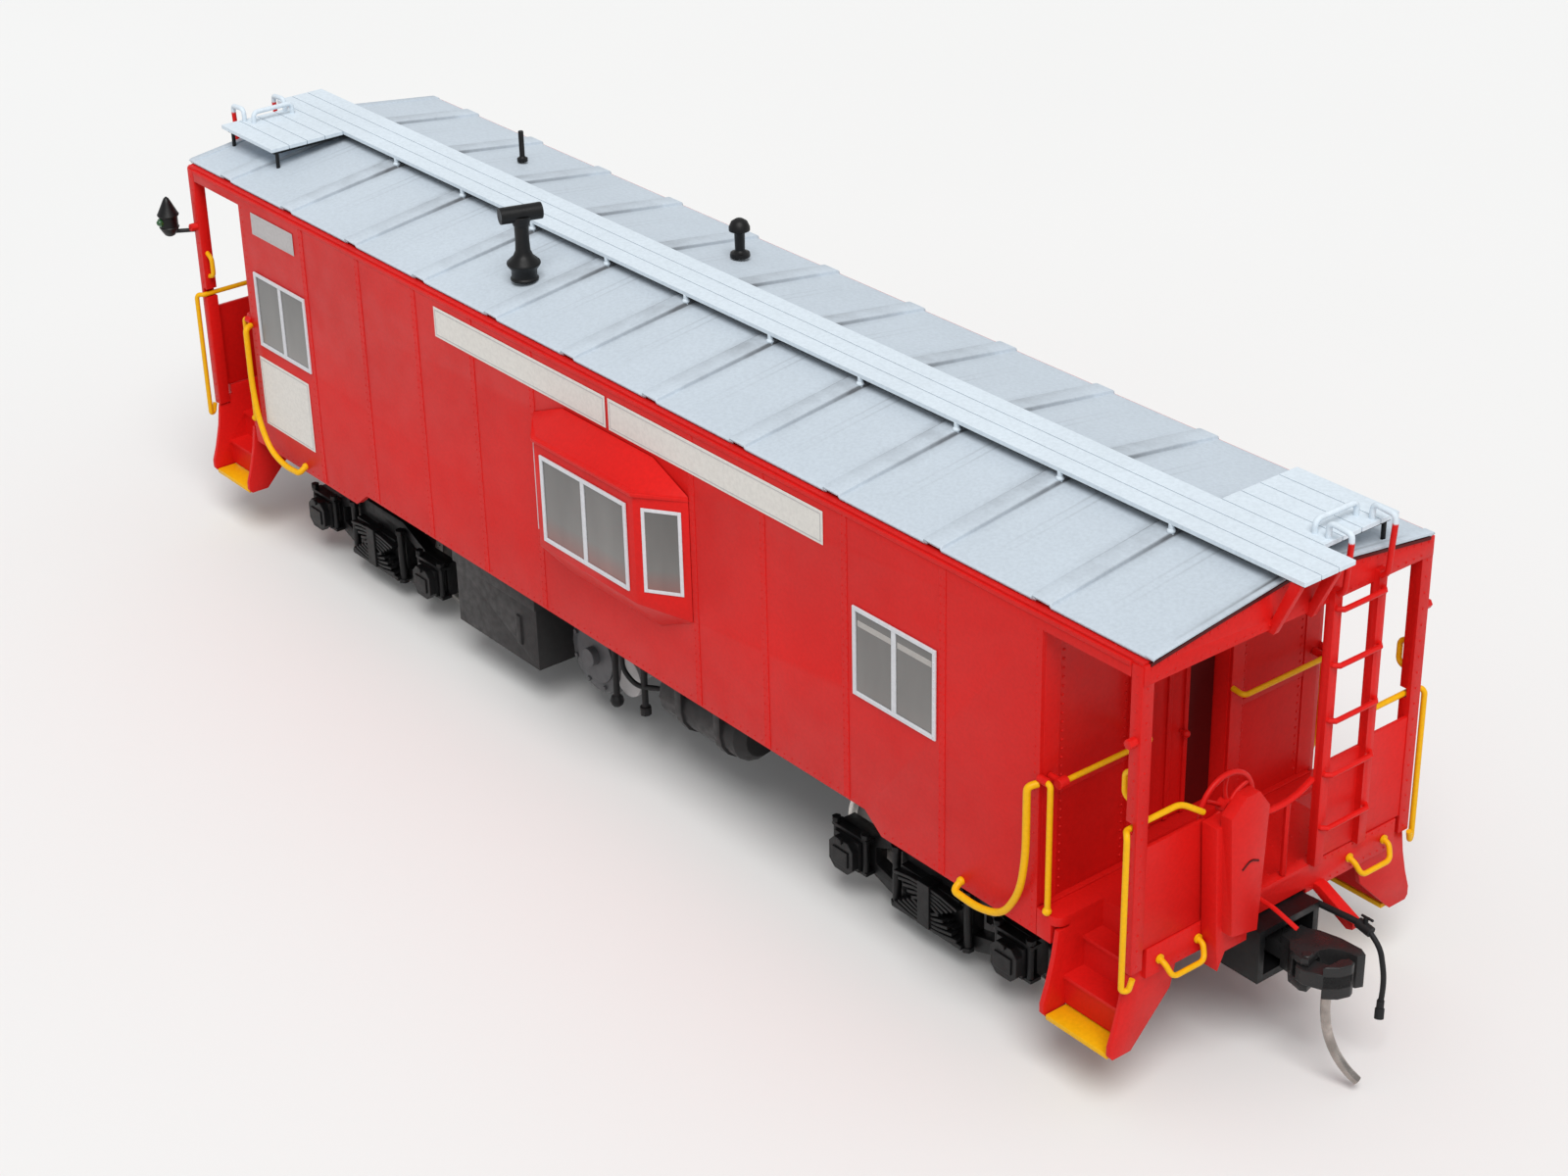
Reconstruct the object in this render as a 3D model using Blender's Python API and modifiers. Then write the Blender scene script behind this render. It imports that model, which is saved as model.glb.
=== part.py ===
"""A 1:87 model of a bay-window caboose, built from its separate pieces.

Run with: blender --background --python part.py
Lengths are written in millimetres and turned into metres where a shape is made. X runs along the model,
Z points up, and z = 0 is the bottom of the wheel flanges. Both ends are the same, half a turn apart.
"""

import math

import bmesh
import bpy
from mathutils import Matrix, Vector

MM = 0.001
GAP = 0.08  # left between neighbouring pieces
WIRE = 0.3  # radius of the bent wire handrails

# Body
BODY_END = 65.0
BODY_SIDE = 17.2
WALL = 0.9
SIDE_TOP = 43.6
SIDE_BOTTOM = 14.4
DROP_BOTTOM = 12.6
DROP_START, DROP_FULL = 42.5, 44.8
DOOR_HALF, DOOR_TOP, DOOR_DEPTH = 5.3, 36.5, 1.8

# Windows and bay
WINDOW_SILL, WINDOW_HEAD = 26.0, 34.9
FRAME = 0.6
NEAR_WINDOW = (41.2, 52.2)
FAR_WINDOW = (-62.9, -51.9)
BAY_CENTRE = 4.9
BAY_ROOT_HALF, BAY_FACE_HALF, BAY_DEPTH = 12.7, 8.1, 3.1
BAY_ROOT = (23.3, 36.6)
BAY_FACE = (24.6, 36.2)
BAY_SLOPE_HALF, BAY_TOP, BAY_BOTTOM = 7.4, 38.8, 20.8
BAY_WINDOW_HALF = 7.05
BAY_SIDE_WINDOW = 4.2

# Roof
ROOF_END = 76.8
ROOF_SIDE = 16.6
EAVE, RIDGE = 44.2, 46.4
ROOF_THICK = 0.5
RIB_FIRST, RIB_STEP, RIB_COUNT, RIB_WIDTH, RIB_HIGH = -68.4, 13.25, 11, 2.2, 0.3
WALK_END, WALK_HALF, WALK_TOP, WALK_THICK = 79.8, 3.0, 47.45, 0.45
PAD_NEAR, PAD_FAR, PAD_SIDE = 65.0, 76.3, 12.3

# Platforms and steps
DECK_TOP, DECK_THICK = 15.4, 0.9
SILL_FRONT, SILL_BACK, SILL_HALF = 76.3, 75.3, 15.4
SILL_TOP, SILL_BOTTOM = 16.2, 13.3
WELL_NEAR, WELL_FAR, WELL_SIDE = 67.7, 75.3, 11.9
TREAD_TOPS = (6.4, 9.5, 12.6)
TREAD_NOSES = (18.5, 16.4, 14.2)
STRINGER = 0.5

# End frame
POST_BACK, POST_FRONT, POST_INNER, POST_OUTER = 75.1, 76.3, 15.9, 17.2
FASCIA_BOTTOM = 41.8
PANEL_TOP, PANEL_BOTTOM, PANEL_BACK = 26.3, SILL_TOP + GAP, 75.85
STILES = ((4.1, 5.1), (9.6, 10.6))
STILE_BACK, STILE_FRONT, STILE_TOP = 76.1, 77.0, 43.0
RUNG_FIRST, RUNG_STEP, RUNG_COUNT = 20.2, 5.3, 5
RAIL_HIGH = 28.45
BRAKE_STEP, BRAKE_FRONT = 78.0, 79.2
BRAKE_WHEEL, BRAKE_WHEEL_RADIUS = (75.2, -5.6, 25.6), 3.1

# Running gear
TRUCK_X = 47.4
AXLE_X = 11.2
AXLE_Z = 5.45
FLANGE, TREAD = 5.45, 4.82
JOURNAL, BEARING = 0.9, 1.0
JOURNAL_END, BEARING_END = 12.4, 12.6
FRAME_INNER, FRAME_OUTER = 11.4, 12.8
KINGPIN, KINGPIN_HOLE = 1.4, 1.6
WHEEL_SIDES = 20

# Couplers
COUPLER_X, COUPLER_Z = 71.0, 10.7
COUPLER_POST, COUPLER_EYE = 0.9, 1.05
BOX_FRONT, BOX_HALF, BOX_BOTTOM, BOX_TOP = 78.2, 3.7, 8.3, 13.6
KNUCKLE_X, KNUCKLE_Y = 81.75, -1.7
KNUCKLE_PIN, KNUCKLE_EYE = 0.42, 0.52

COLOURS = {
    "red": ((0.56, 0.022, 0.018), 0.38, 0.0),
    "roof_grey": ((0.70, 0.76, 0.81), 0.5, 0.0),
    "walk_grey": ((0.72, 0.74, 0.76), 0.6, 0.0),
    "yellow": ((0.85, 0.40, 0.012), 0.35, 0.0),
    "black": ((0.018, 0.018, 0.02), 0.5, 0.0),
    "dark_grey": ((0.055, 0.053, 0.058), 0.5, 0.0),
    "light_grey": ((0.42, 0.42, 0.44), 0.45, 0.0),
    "silver": ((0.66, 0.66, 0.69), 0.4, 0.2),
    "glazing": ((0.35, 0.34, 0.33), 0.1, 0.0),
    "steel": ((0.42, 0.38, 0.33), 0.25, 1.0),
    "weight": ((0.3, 0.3, 0.31), 0.5, 1.0),
    "rubber": ((0.015, 0.015, 0.016), 0.7, 0.0),
}


# ---------------------------------------------------------------- scene and materials


def clear_scene():
    for thing in list(bpy.data.objects):
        bpy.data.objects.remove(thing)


def new_collection(name, parent):
    collection = bpy.data.collections.new(name)
    parent.children.link(collection)
    return collection


def material(name):
    found = bpy.data.materials.get(name)
    if found:
        return found
    colour, roughness, metallic = COLOURS[name]
    made = bpy.data.materials.new(name)
    made.use_nodes = True
    shader = made.node_tree.nodes["Principled BSDF"]
    shader.inputs["Base Color"].default_value = (*colour, 1.0)
    shader.inputs["Roughness"].default_value = roughness
    shader.inputs["Metallic"].default_value = metallic
    made.diffuse_color = (*colour, 1.0)
    return made


clear_scene()
PARTS = new_collection("bay_window_caboose", bpy.context.scene.collection)
HELPERS = new_collection("helpers", bpy.context.scene.collection)


def empty(name, at=(0, 0, 0), turn=0.0, parent=None):
    """A parent that places its children: at in mm, turn in degrees about Z."""
    made = bpy.data.objects.new(name, None)
    made.location = Vector(at) * MM
    made.rotation_euler.z = math.radians(turn)
    made.parent = parent
    PARTS.objects.link(made)
    return made


# ---------------------------------------------------------------- shapes, all as helpers until they are named


def helper(name, data):
    made = bpy.data.objects.new(name, data)
    made.hide_render = True
    made.display_type = "WIRE"
    HELPERS.objects.link(made)
    return made


def mesh_object(bm, at=(0, 0, 0)):
    data = bpy.data.meshes.new("shape")
    bm.to_mesh(data)
    bm.free()
    made = helper("shape", data)
    made.location = Vector(at) * MM
    return made


def box(low, high):
    """A box between two corners."""
    low, high = Vector(low) * MM, Vector(high) * MM
    bm = bmesh.new()
    bmesh.ops.create_cube(bm, size=1.0)
    size = [abs(b - a) for a, b in zip(low, high)]
    bmesh.ops.scale(bm, vec=size, verts=bm.verts)
    return mesh_object(bm, (low + high) / 2 / MM)


def cylinder(start, end, radius, sides=16, end_radius=None):
    """A cylinder, or a cone, from one point to another."""
    start, end = Vector(start), Vector(end)
    along = end - start
    bm = bmesh.new()
    bmesh.ops.create_cone(
        bm,
        cap_ends=True,
        segments=sides,
        radius1=radius * MM,
        radius2=(radius if end_radius is None else end_radius) * MM,
        depth=along.length * MM,
    )
    made = mesh_object(bm, (start + end) / 2)
    made.rotation_euler = along.to_track_quat("Z", "X").to_euler()
    return made


def hull(points):
    """The convex solid around these corners."""
    bm = bmesh.new()
    for point in points:
        bm.verts.new(Vector(point) * MM)
    result = bmesh.ops.convex_hull(bm, input=bm.verts)
    bmesh.ops.delete(bm, geom=result["geom_interior"], context="VERTS")
    bmesh.ops.dissolve_limit(bm, angle_limit=0.001, verts=bm.verts, edges=bm.edges)
    return mesh_object(bm)


def to_mesh(curve):
    """The curve as a mesh, which is what a Boolean takes."""
    bpy.context.view_layer.update()
    data = bpy.data.meshes.new_from_object(curve)
    bm = bmesh.new()
    bm.from_mesh(data)
    bmesh.ops.remove_doubles(bm, verts=bm.verts, dist=1e-6)
    bmesh.ops.recalc_face_normals(bm, faces=bm.faces)
    bm.to_mesh(data)
    bm.free()
    made = helper("shape", data)
    made.location = curve.location
    made.rotation_euler = curve.rotation_euler
    bpy.data.objects.remove(curve)
    return made


def add_spline(curve, points, closed):
    spline = curve.splines.new("POLY")
    spline.points.add(len(points) - 1)
    for target, point in zip(spline.points, points):
        place = Vector((*point, 0)[:3]) * MM
        target.co = (*place, 1.0)
    spline.use_cyclic_u = closed


FLAT_TURNS = {"xy": (0, 0, 0), "xz": (90, 0, 0), "yz": (90, 0, 90)}
FLAT_NORMALS = {"xy": (0, 0, 1), "xz": (0, 1, 0), "yz": (1, 0, 0)}


def flat(outlines, plane, low, high):
    """A flat plate in a plane, between two places along its normal: an outline, then the outlines of its holes."""
    curve = bpy.data.curves.new("outline", "CURVE")
    curve.dimensions = "2D"
    curve.fill_mode = "BOTH"
    curve.extrude = (high - low) / 2 * MM
    for outline in outlines:
        add_spline(curve, outline, True)
    made = helper("outline", curve)
    made.location = Vector(FLAT_NORMALS[plane]) * (low + high) / 2 * MM
    made.rotation_euler = [math.radians(angle) for angle in FLAT_TURNS[plane]]
    return to_mesh(made)


def bend(points, radius, steps=3):
    """These points with each inner corner rounded."""
    points = [Vector(point) for point in points]
    bent = [points[0]]
    for before, corner, after in zip(points, points[1:], points[2:]):
        reach = min(radius, (before - corner).length * 0.45, (after - corner).length * 0.45)
        start = corner + (before - corner).normalized() * reach
        end = corner + (after - corner).normalized() * reach
        for step in range(steps + 1):
            t = step / steps
            bent.append(start * (1 - t) ** 2 + corner * 2 * t * (1 - t) + end * t**2)
    return bent + [points[-1]]


def wire(points, radius=WIRE, fineness=1):
    """A round wire along these points."""
    curve = bpy.data.curves.new("wire", "CURVE")
    curve.dimensions = "3D"
    curve.bevel_depth = radius * MM
    curve.bevel_resolution = fineness
    curve.use_fill_caps = True
    add_spline(curve, points, False)
    return to_mesh(helper("wire", curve))


def turned(profile, sides=16):
    """A solid of revolution about its own Z, from (radius, height) points running down its outer side."""
    bm = bmesh.new()
    corners = [bm.verts.new((radius * MM, 0, height * MM)) for radius, height in profile]
    for first, second in zip(corners, corners[1:]):
        bm.edges.new((first, second))
    made = mesh_object(bm)
    screw = made.modifiers.new("turn", "SCREW")
    screw.angle = math.tau
    screw.steps = sides
    screw.render_steps = sides
    screw.use_merge_vertices = True
    screw.merge_threshold = 1e-6
    screw.use_normal_calculate = False
    return made


def rectangle(low_a, high_a, low_b, high_b):
    return [(low_a, low_b), (high_a, low_b), (high_a, high_b), (low_a, high_b)]


def arc(centre, radius, start, end, steps):
    """Points round a centre, with the angles in degrees."""
    angles = [math.radians(start + (end - start) * step / steps) for step in range(steps + 1)]
    return [(centre[0] + radius * math.cos(a), centre[1] + radius * math.sin(a)) for a in angles]


def boolean(base, operation, others, parent):
    group = new_collection(f"{base.name} {operation.lower()}", HELPERS)
    for other in others:
        HELPERS.objects.unlink(other)
        group.objects.link(other)
        other.parent = parent
    modifier = base.modifiers.new(operation.lower(), "BOOLEAN")
    modifier.operation = operation
    modifier.operand_type = "COLLECTION"
    modifier.collection = group
    modifier.solver = "EXACT"


def node(name, base, colour, add=(), cut=(), parent=None):
    """Names a shape as a piece of the model, with what is joined to it and cut from it."""
    base.name = name
    base.data.name = name
    base.hide_render = False
    base.display_type = "TEXTURED"
    base.parent = parent
    HELPERS.objects.unlink(base)
    PARTS.objects.link(base)
    if add:
        boolean(base, "UNION", add, parent)
    if cut:
        boolean(base, "DIFFERENCE", cut, parent)
    base.data.materials.clear()
    base.data.materials.append(material(colour))
    return base


# ---------------------------------------------------------------- body


def side_outline():
    half = [
        (DROP_START, SIDE_BOTTOM),
        (DROP_FULL, DROP_BOTTOM),
        (BODY_END, DROP_BOTTOM),
        (BODY_END, FASCIA_BOTTOM + 0.4),
        (POST_BACK - GAP, FASCIA_BOTTOM + 0.4),
        (POST_BACK - GAP, SIDE_TOP),
    ]
    return half + [(-x, z) for x, z in reversed(half)]


def window_hole(window):
    return rectangle(window[0] + FRAME, window[1] - FRAME, WINDOW_SILL + FRAME, WINDOW_HEAD - FRAME)


def bay_hole():
    return rectangle(BAY_CENTRE - 7.0, BAY_CENTRE + 7.0, BAY_BOTTOM + 2, BAY_ROOT[1])


def side_wall(side):
    outlines = [side_outline(), window_hole(NEAR_WINDOW), window_hole(FAR_WINDOW), bay_hole()]
    faces = sorted((side * BODY_SIDE, side * (BODY_SIDE - WALL)))
    return flat(outlines, "xz", *faces)


def end_wall(end):
    top = SIDE_TOP - 0.2
    outer = BODY_SIDE - 0.3
    outline = [(-outer, DROP_BOTTOM + 3), (outer, DROP_BOTTOM + 3), (outer, top), (-outer, top)]
    hole = rectangle(-DOOR_HALF, DOOR_HALF, DECK_TOP + 0.9, DOOR_TOP)
    faces = sorted((end * (BODY_END - 0.1), end * (BODY_END - 0.1 - WALL)))
    return flat([outline, hole], "yz", *faces)


def door_pocket(end):
    """The recess around an end door, with the door as its back."""
    rim = 0.5
    back = BODY_END - DOOR_DEPTH
    outer = box(
        (end * (back - 0.6), -DOOR_HALF - rim, DECK_TOP + 0.9 - rim),
        (end * (BODY_END - 0.3), DOOR_HALF + rim, DOOR_TOP + rim),
    )
    inner = box(
        (end * back, -DOOR_HALF + 0.01, DECK_TOP + 0.91),
        (end * (BODY_END + 1), DOOR_HALF - 0.01, DOOR_TOP - 0.01),
    )
    return outer, inner


def make_body_shell():
    pockets = [door_pocket(end) for end in (1, -1)]
    joined = [side_wall(1), end_wall(1), end_wall(-1)] + [outer for outer, _ in pockets]
    node("body_shell", side_wall(-1), "red", add=joined, cut=[inner for _, inner in pockets])


def bay_points(inset, back):
    """Corners of the bay, on the left side, drawn in by inset and reaching back towards the body."""
    side = -(BODY_SIDE + GAP)
    root, face, slope = BAY_ROOT_HALF - inset * 1.3, BAY_FACE_HALF - inset * 0.6, BAY_SLOPE_HALF - inset
    points = []
    for sign in (-1, 1):
        for depth in (back, 0):
            points.append((BAY_CENTRE + sign * root, side - depth, BAY_ROOT[0] + inset))
            points.append((BAY_CENTRE + sign * root, side - depth, BAY_ROOT[1] - inset))
            points.append((BAY_CENTRE + sign * slope, side - depth, BAY_TOP - inset * 1.4))
            points.append((BAY_CENTRE + sign * slope, side - depth, BAY_BOTTOM + inset * 1.4))
        for height in (BAY_FACE[0] + inset * 0.5, BAY_FACE[1] - inset * 0.5):
            points.append((BAY_CENTRE + sign * face, side - BAY_DEPTH + inset, height))
    return points


def mirrored(points, side):
    """Left-side points, or their mirror image on the right side."""
    return [(x, -side * y, z) for x, y, z in points]


def bay_angle():
    return math.atan2(BAY_DEPTH, BAY_ROOT_HALF - BAY_FACE_HALF)


def bay_window_box(side, sign, half, sill, head, depth):
    """A box standing across an angled face of the bay, centred on its window."""
    middle = (BAY_ROOT_HALF + BAY_FACE_HALF) / 2
    made = box((-half, -depth, sill), (half, depth, head))
    made.location.x = (BAY_CENTRE + sign * middle) * MM
    made.location.y = side * (BODY_SIDE + GAP + BAY_DEPTH / 2) * MM
    made.rotation_euler.z = -side * sign * bay_angle()
    return made


def make_bay(name, side):
    outer = hull(mirrored(bay_points(0, 0.0), side))
    hollow = hull(mirrored(bay_points(0.8, -1.0), side))
    front = box(
        (BAY_CENTRE - BAY_WINDOW_HALF + FRAME, side * BODY_SIDE, WINDOW_SILL + FRAME - 0.4),
        (BAY_CENTRE + BAY_WINDOW_HALF - FRAME, side * (BODY_SIDE + 6), WINDOW_HEAD - FRAME),
    )
    half = BAY_SIDE_WINDOW / 2 - FRAME * 0.7
    angled = [
        bay_window_box(side, sign, half, WINDOW_SILL + FRAME, WINDOW_HEAD - FRAME, 1.6) for sign in (-1, 1)
    ]
    node(name, outer, "red", cut=[hollow, front] + angled)


def window_frame(name, window, side):
    """A sliding window's frame, standing a little proud of the side, with its middle bar."""
    edge = rectangle(window[0], window[1], WINDOW_SILL, WINDOW_HEAD)
    middle = (window[0] + window[1]) / 2
    inset, bar = FRAME + GAP, 0.3
    panes = [
        rectangle(window[0] + inset, middle - bar, WINDOW_SILL + inset, WINDOW_HEAD - inset),
        rectangle(middle + bar, window[1] - inset, WINDOW_SILL + inset, WINDOW_HEAD - inset),
    ]
    faces = sorted((side * (BODY_SIDE + GAP), side * (BODY_SIDE + 0.45)))
    node(name, flat([edge] + panes, "xz", *faces), "silver")


def make_bay_frame(name, side):
    """The bay's front window frame, standing on its outer face."""
    low, high = WINDOW_SILL - 0.4, WINDOW_HEAD
    edge = rectangle(BAY_CENTRE - BAY_WINDOW_HALF, BAY_CENTRE + BAY_WINDOW_HALF, low, high)
    inset, bar = FRAME, 0.3
    panes = [
        rectangle(BAY_CENTRE - BAY_WINDOW_HALF + inset, BAY_CENTRE - bar, low + inset, high - inset),
        rectangle(BAY_CENTRE + bar, BAY_CENTRE + BAY_WINDOW_HALF - inset, low + inset, high - inset),
    ]
    root = BODY_SIDE + GAP + BAY_DEPTH
    faces = sorted((side * (root + GAP), side * (root + 0.4)))
    node(name, flat([edge] + panes, "xz", *faces), "silver")


def make_glazing(name, side):
    """One clear strip behind a side's windows, bent out round the inside of the bay."""
    inner = BODY_SIDE - WALL - GAP
    thick = 0.5
    bay_inner = BODY_SIDE + GAP + BAY_DEPTH - 0.8 - GAP
    face, root = BAY_FACE_HALF - 1.6, BAY_FACE_HALF - 1.15
    outer = [
        (FAR_WINDOW[0] - 0.5, inner),
        (BAY_CENTRE - root, inner),
        (BAY_CENTRE - face, bay_inner),
        (BAY_CENTRE + face, bay_inner),
        (BAY_CENTRE + root, inner),
        (NEAR_WINDOW[1] + 0.6, inner),
    ]
    shift = thick * 1.1
    back = [
        (outer[0][0], inner - thick),
        (outer[1][0] + shift, inner - thick),
        (outer[2][0] + shift, bay_inner - thick),
        (outer[3][0] - shift, bay_inner - thick),
        (outer[4][0] - shift, inner - thick),
        (outer[5][0], inner - thick),
    ]
    outline = [(x, side * y) for x, y in outer + back[::-1]]
    node(name, flat([outline], "xy", WINDOW_SILL - 1, WINDOW_HEAD + 0.6), "glazing")


# ---------------------------------------------------------------- roof


def chevron(side, eave, ridge, thick):
    """A roof's section: two slopes of one thickness."""
    return [(-side, eave - thick), (0, ridge - thick), (side, eave - thick), (side, eave), (0, ridge), (-side, eave)]


def rib_places():
    return [RIB_FIRST + RIB_STEP * step for step in range(RIB_COUNT)]


def make_roof():
    sheet = flat([chevron(ROOF_SIDE, EAVE, RIDGE, ROOF_THICK)], "yz", -ROOF_END, ROOF_END)
    section = chevron(ROOF_SIDE + 0.1, EAVE + RIB_HIGH, RIDGE + RIB_HIGH, RIB_HIGH + 0.25)
    ribs = [flat([section], "yz", x - RIB_WIDTH / 2, x + RIB_WIDTH / 2) for x in rib_places()]
    node("roof", sheet, "roof_grey", add=ribs)


def roof_height(y):
    return EAVE + (RIDGE - EAVE) * (1 - abs(y) / ROOF_SIDE)


def turned_about(points):
    """Points as they stand at the other end, half a turn round."""
    return [(-x, -y, *rest) for x, y, *rest in points]


def walk_outline():
    half = [
        (WALK_END, -WALK_HALF),
        (WALK_END, WALK_HALF),
        (PAD_FAR, WALK_HALF),
        (PAD_FAR, PAD_SIDE),
        (PAD_NEAR, PAD_SIDE),
        (PAD_NEAR, WALK_HALF),
    ]
    return half + turned_about(half)


def walk_saddle(x):
    """A support that sits on a roof rib and holds the walk up."""
    reach = WALK_HALF - 0.3
    foot = roof_height(reach) + RIB_HIGH + GAP
    crown = RIDGE + RIB_HIGH + GAP
    top = WALK_TOP - WALK_THICK + 0.1
    outline = [(-reach, top), (-reach, foot), (0, crown), (reach, foot), (reach, top)]
    return flat([outline], "yz", x - 0.4, x + 0.4)


def roof_rails():
    """The three grab irons of one end's roof pad."""
    top = WALK_TOP + 1.4
    foot = WALK_TOP - 0.2
    rails = [[(74.4, 4.1, foot), (74.4, 4.1, top - 0.2), (74.4, 9.1, top - 0.2), (74.4, 9.1, foot)]]
    for y, low in ((4.3, 44.2), (9.6, 44.0)):
        rails.append([(75.7, y, foot), (75.7, y, top), (78.2, y, top - 0.2), (77.8, y, low)])
    return rails


def make_roof_walk():
    boards = flat([walk_outline()], "xy", WALK_TOP - WALK_THICK, WALK_TOP)
    joined = [walk_saddle(x) for x in rib_places()]
    for x, y in ((PAD_FAR - 1.0, 11.0), (PAD_NEAR + 0.6, 11.0)):
        leg_top, leg_foot = WALK_TOP - 0.2, roof_height(y - 0.4) + GAP * 2
        for sign in (1, -1):
            joined.append(cylinder((sign * x, sign * y, leg_foot), (sign * x, sign * y, leg_top), 0.35, 6))
    for rail in roof_rails():
        for points in (rail, turned_about(rail)):
            joined.append(wire(bend(points, 0.6)))
    node("roof_walk", boards, "walk_grey", add=joined)


def make_smoke_jack():
    x, y = -18.8, -10.0
    foot = roof_height(y - 1.4) + 0.45
    profile = [
        (0, 6.6), (0.8, 6.6), (0.8, 2.9), (1.7, 1.8), (1.7, 1.5), (1.3, 1.0), (1.3, 0), (0, 0),
    ]
    stack = turned(profile, 12)
    stack.location = Vector((x, y, foot)) * MM
    turn = math.radians(73)
    reach = Vector((math.cos(turn), math.sin(turn), 0)) * 2.2
    middle = Vector((x, y, foot + 7.1))
    node("smoke_jack", stack, "black", add=[cylinder(middle - reach, middle + reach, 0.85, 10)])


def make_roof_vent():
    y = 10.0
    profile = [(0, 4.2), (0.9, 3.7), (1.1, 2.9), (0.55, 2.5), (0.55, 0.6), (1.0, 0.4), (1.0, 0), (0, 0)]
    vent = turned(profile, 12)
    vent.location = Vector((-9.0, y, roof_height(y - 1.0) + 0.2)) * MM
    node("roof_vent", vent, "black")


def make_vent_pipe():
    y = 9.7
    profile = [(0, 3.5), (0.3, 3.5), (0.3, 0.5), (0.6, 0.4), (0.6, 0), (0, 0)]
    pipe = turned(profile, 8)
    pipe.location = Vector((-48.0, y, roof_height(y - 0.6) + 0.15)) * MM
    node("vent_pipe", pipe, "black")


# ---------------------------------------------------------------- underframe


def draft_box(end):
    """A coupler's box: a shell open at the front, with the post that the coupler turns on."""
    wall = 0.7
    back = COUPLER_X - 3.6
    shell = box((end * back, -BOX_HALF, BOX_BOTTOM), (end * BOX_FRONT, BOX_HALF, BOX_TOP))
    pocket = box(
        (end * (back + wall), -BOX_HALF + wall, BOX_BOTTOM + wall),
        (end * (BOX_FRONT + 1), BOX_HALF - wall, BOX_TOP - wall),
    )
    post = cylinder(
        (end * COUPLER_X, 0, BOX_BOTTOM + wall / 2), (end * COUPLER_X, 0, BOX_TOP - wall / 2), COUPLER_POST, 16
    )
    return shell, pocket, post


def make_underframe():
    floor_low, floor_high = SIDE_BOTTOM + GAP, DECK_TOP
    inner = BODY_SIDE - WALL - GAP
    floor_end = BODY_END - DOOR_DEPTH - 0.6 - 0.4
    floor = box((-floor_end, -inner, floor_low), (floor_end, inner, floor_high))
    sill_end = COUPLER_X + 3
    joined = [box((-sill_end, -2.6, 12.0), (sill_end, 2.6, floor_low - GAP / 2))]
    joined.append(box((-floor_end + 2, -2.0, 13.5), (floor_end - 2, 2.0, floor_high - 0.3)))
    boxes = [draft_box(end) for end in (1, -1)]
    for shell, _, post in boxes:
        joined.append(shell)
    for end in (1, -1):
        x = end * TRUCK_X
        joined.append(box((x - 2.6, -13.5, 12.6), (x + 2.6, 13.5, floor_low + 0.3)))
        joined.append(cylinder((x, 0, 10.9), (x, 0, 12.3), 3.0, 16))
        joined.append(cylinder((x, 0, 6.6), (x, 0, 11.2), KINGPIN, 12))
    for x, foot in ((-0.9, 5.4), (4.1, 6.4)):
        joined.append(cylinder((x, -13.8, foot), (x, -13.8, floor_low + 0.3), 0.35, 8))
        joined.append(cylinder((x, -13.8, foot - 0.4), (x, -13.8, foot + 0.5), 0.6, 8))
    whole = node("underframe", floor, "black", add=joined, cut=[pocket for _, pocket, _ in boxes])
    boolean(whole, "UNION", [], None)
    posts = whole.modifiers[-1].collection
    posts.name = "underframe posts"
    for _, _, post in boxes:
        HELPERS.objects.unlink(post)
        posts.objects.link(post)


def make_weight():
    slab = box((-38, -11, DECK_TOP + 0.1), (38, 11, DECK_TOP + 3.0))
    node("ballast_weight", slab, "weight")


def make_fuel_box():
    low, high = -26.8, -11.7
    front, back = -(BODY_SIDE - 0.9), -8.6
    top = SIDE_BOTTOM
    chest = box((low, front + 0.3, 5.0), (high, back, top - 0.6))
    lid = box((low - 0.2, front, top - 2.2), (high + 0.2, back + 0.2, top))
    handle = box((high - 3.6, front + 0.05, 7.0), (high - 2.8, front + 0.5, 10.4))
    node("fuel_box", chest, "dark_grey", add=[lid, handle])


def make_air_reservoir():
    y, z, radius = -12.2, 10.5, 3.0
    low, high = 7.5, 21.4
    profile = [(0, 0), (radius - 0.9, 0), (radius, 1.0), (radius, high - low - 1.0), (radius - 0.9, high - low), (0, high - low)]
    tank = turned(profile[::-1], 16)
    tank.location = Vector((low, y, z)) * MM
    tank.rotation_euler = (0, math.radians(90), 0)
    straps = []
    for x in (12.0, 18.2):
        straps.append(cylinder((x - 0.5, y, z), (x + 0.5, y, z), radius + 0.3, 16))
        straps.append(box((x - 0.5, y - radius - 0.3, z), (x + 0.5, y - radius + 0.3, SIDE_BOTTOM)))
        straps.append(box((x - 0.5, y + radius - 0.3, z), (x + 0.5, y + radius + 0.3, SIDE_BOTTOM)))
    node("air_reservoir", tank, "dark_grey", add=straps)


def make_brake_cylinder():
    x, z, radius = -5.4, 8.6, 4.2
    drum = cylinder((x, -13.0, z), (x, -8.0, z), radius, 20)
    rim = cylinder((x, -12.3, z), (x, -11.3, z), radius + 0.35, 20)
    hanger = box((x - 2.2, -11.9, z), (x + 2.2, -9.0, SIDE_BOTTOM))
    node("brake_cylinder", drum, "light_grey", add=[rim, hanger])


# ---------------------------------------------------------------- one end, drawn at +X


def deck_outline():
    side = BODY_SIDE
    corner = arc((WELL_NEAR - 0.9, side - 0.9), 0.9, 90, 0, 3)
    half = [(BODY_END + GAP, 0), (BODY_END + GAP, side)] + corner
    half += [(WELL_NEAR, WELL_SIDE), (WELL_FAR, WELL_SIDE), (WELL_FAR, SILL_HALF - 0.1), (SILL_FRONT - 0.1, SILL_HALF - 0.1)]
    mirror = [(x, -y) for x, y in reversed(half)]
    return half + mirror[:-1]


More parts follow.
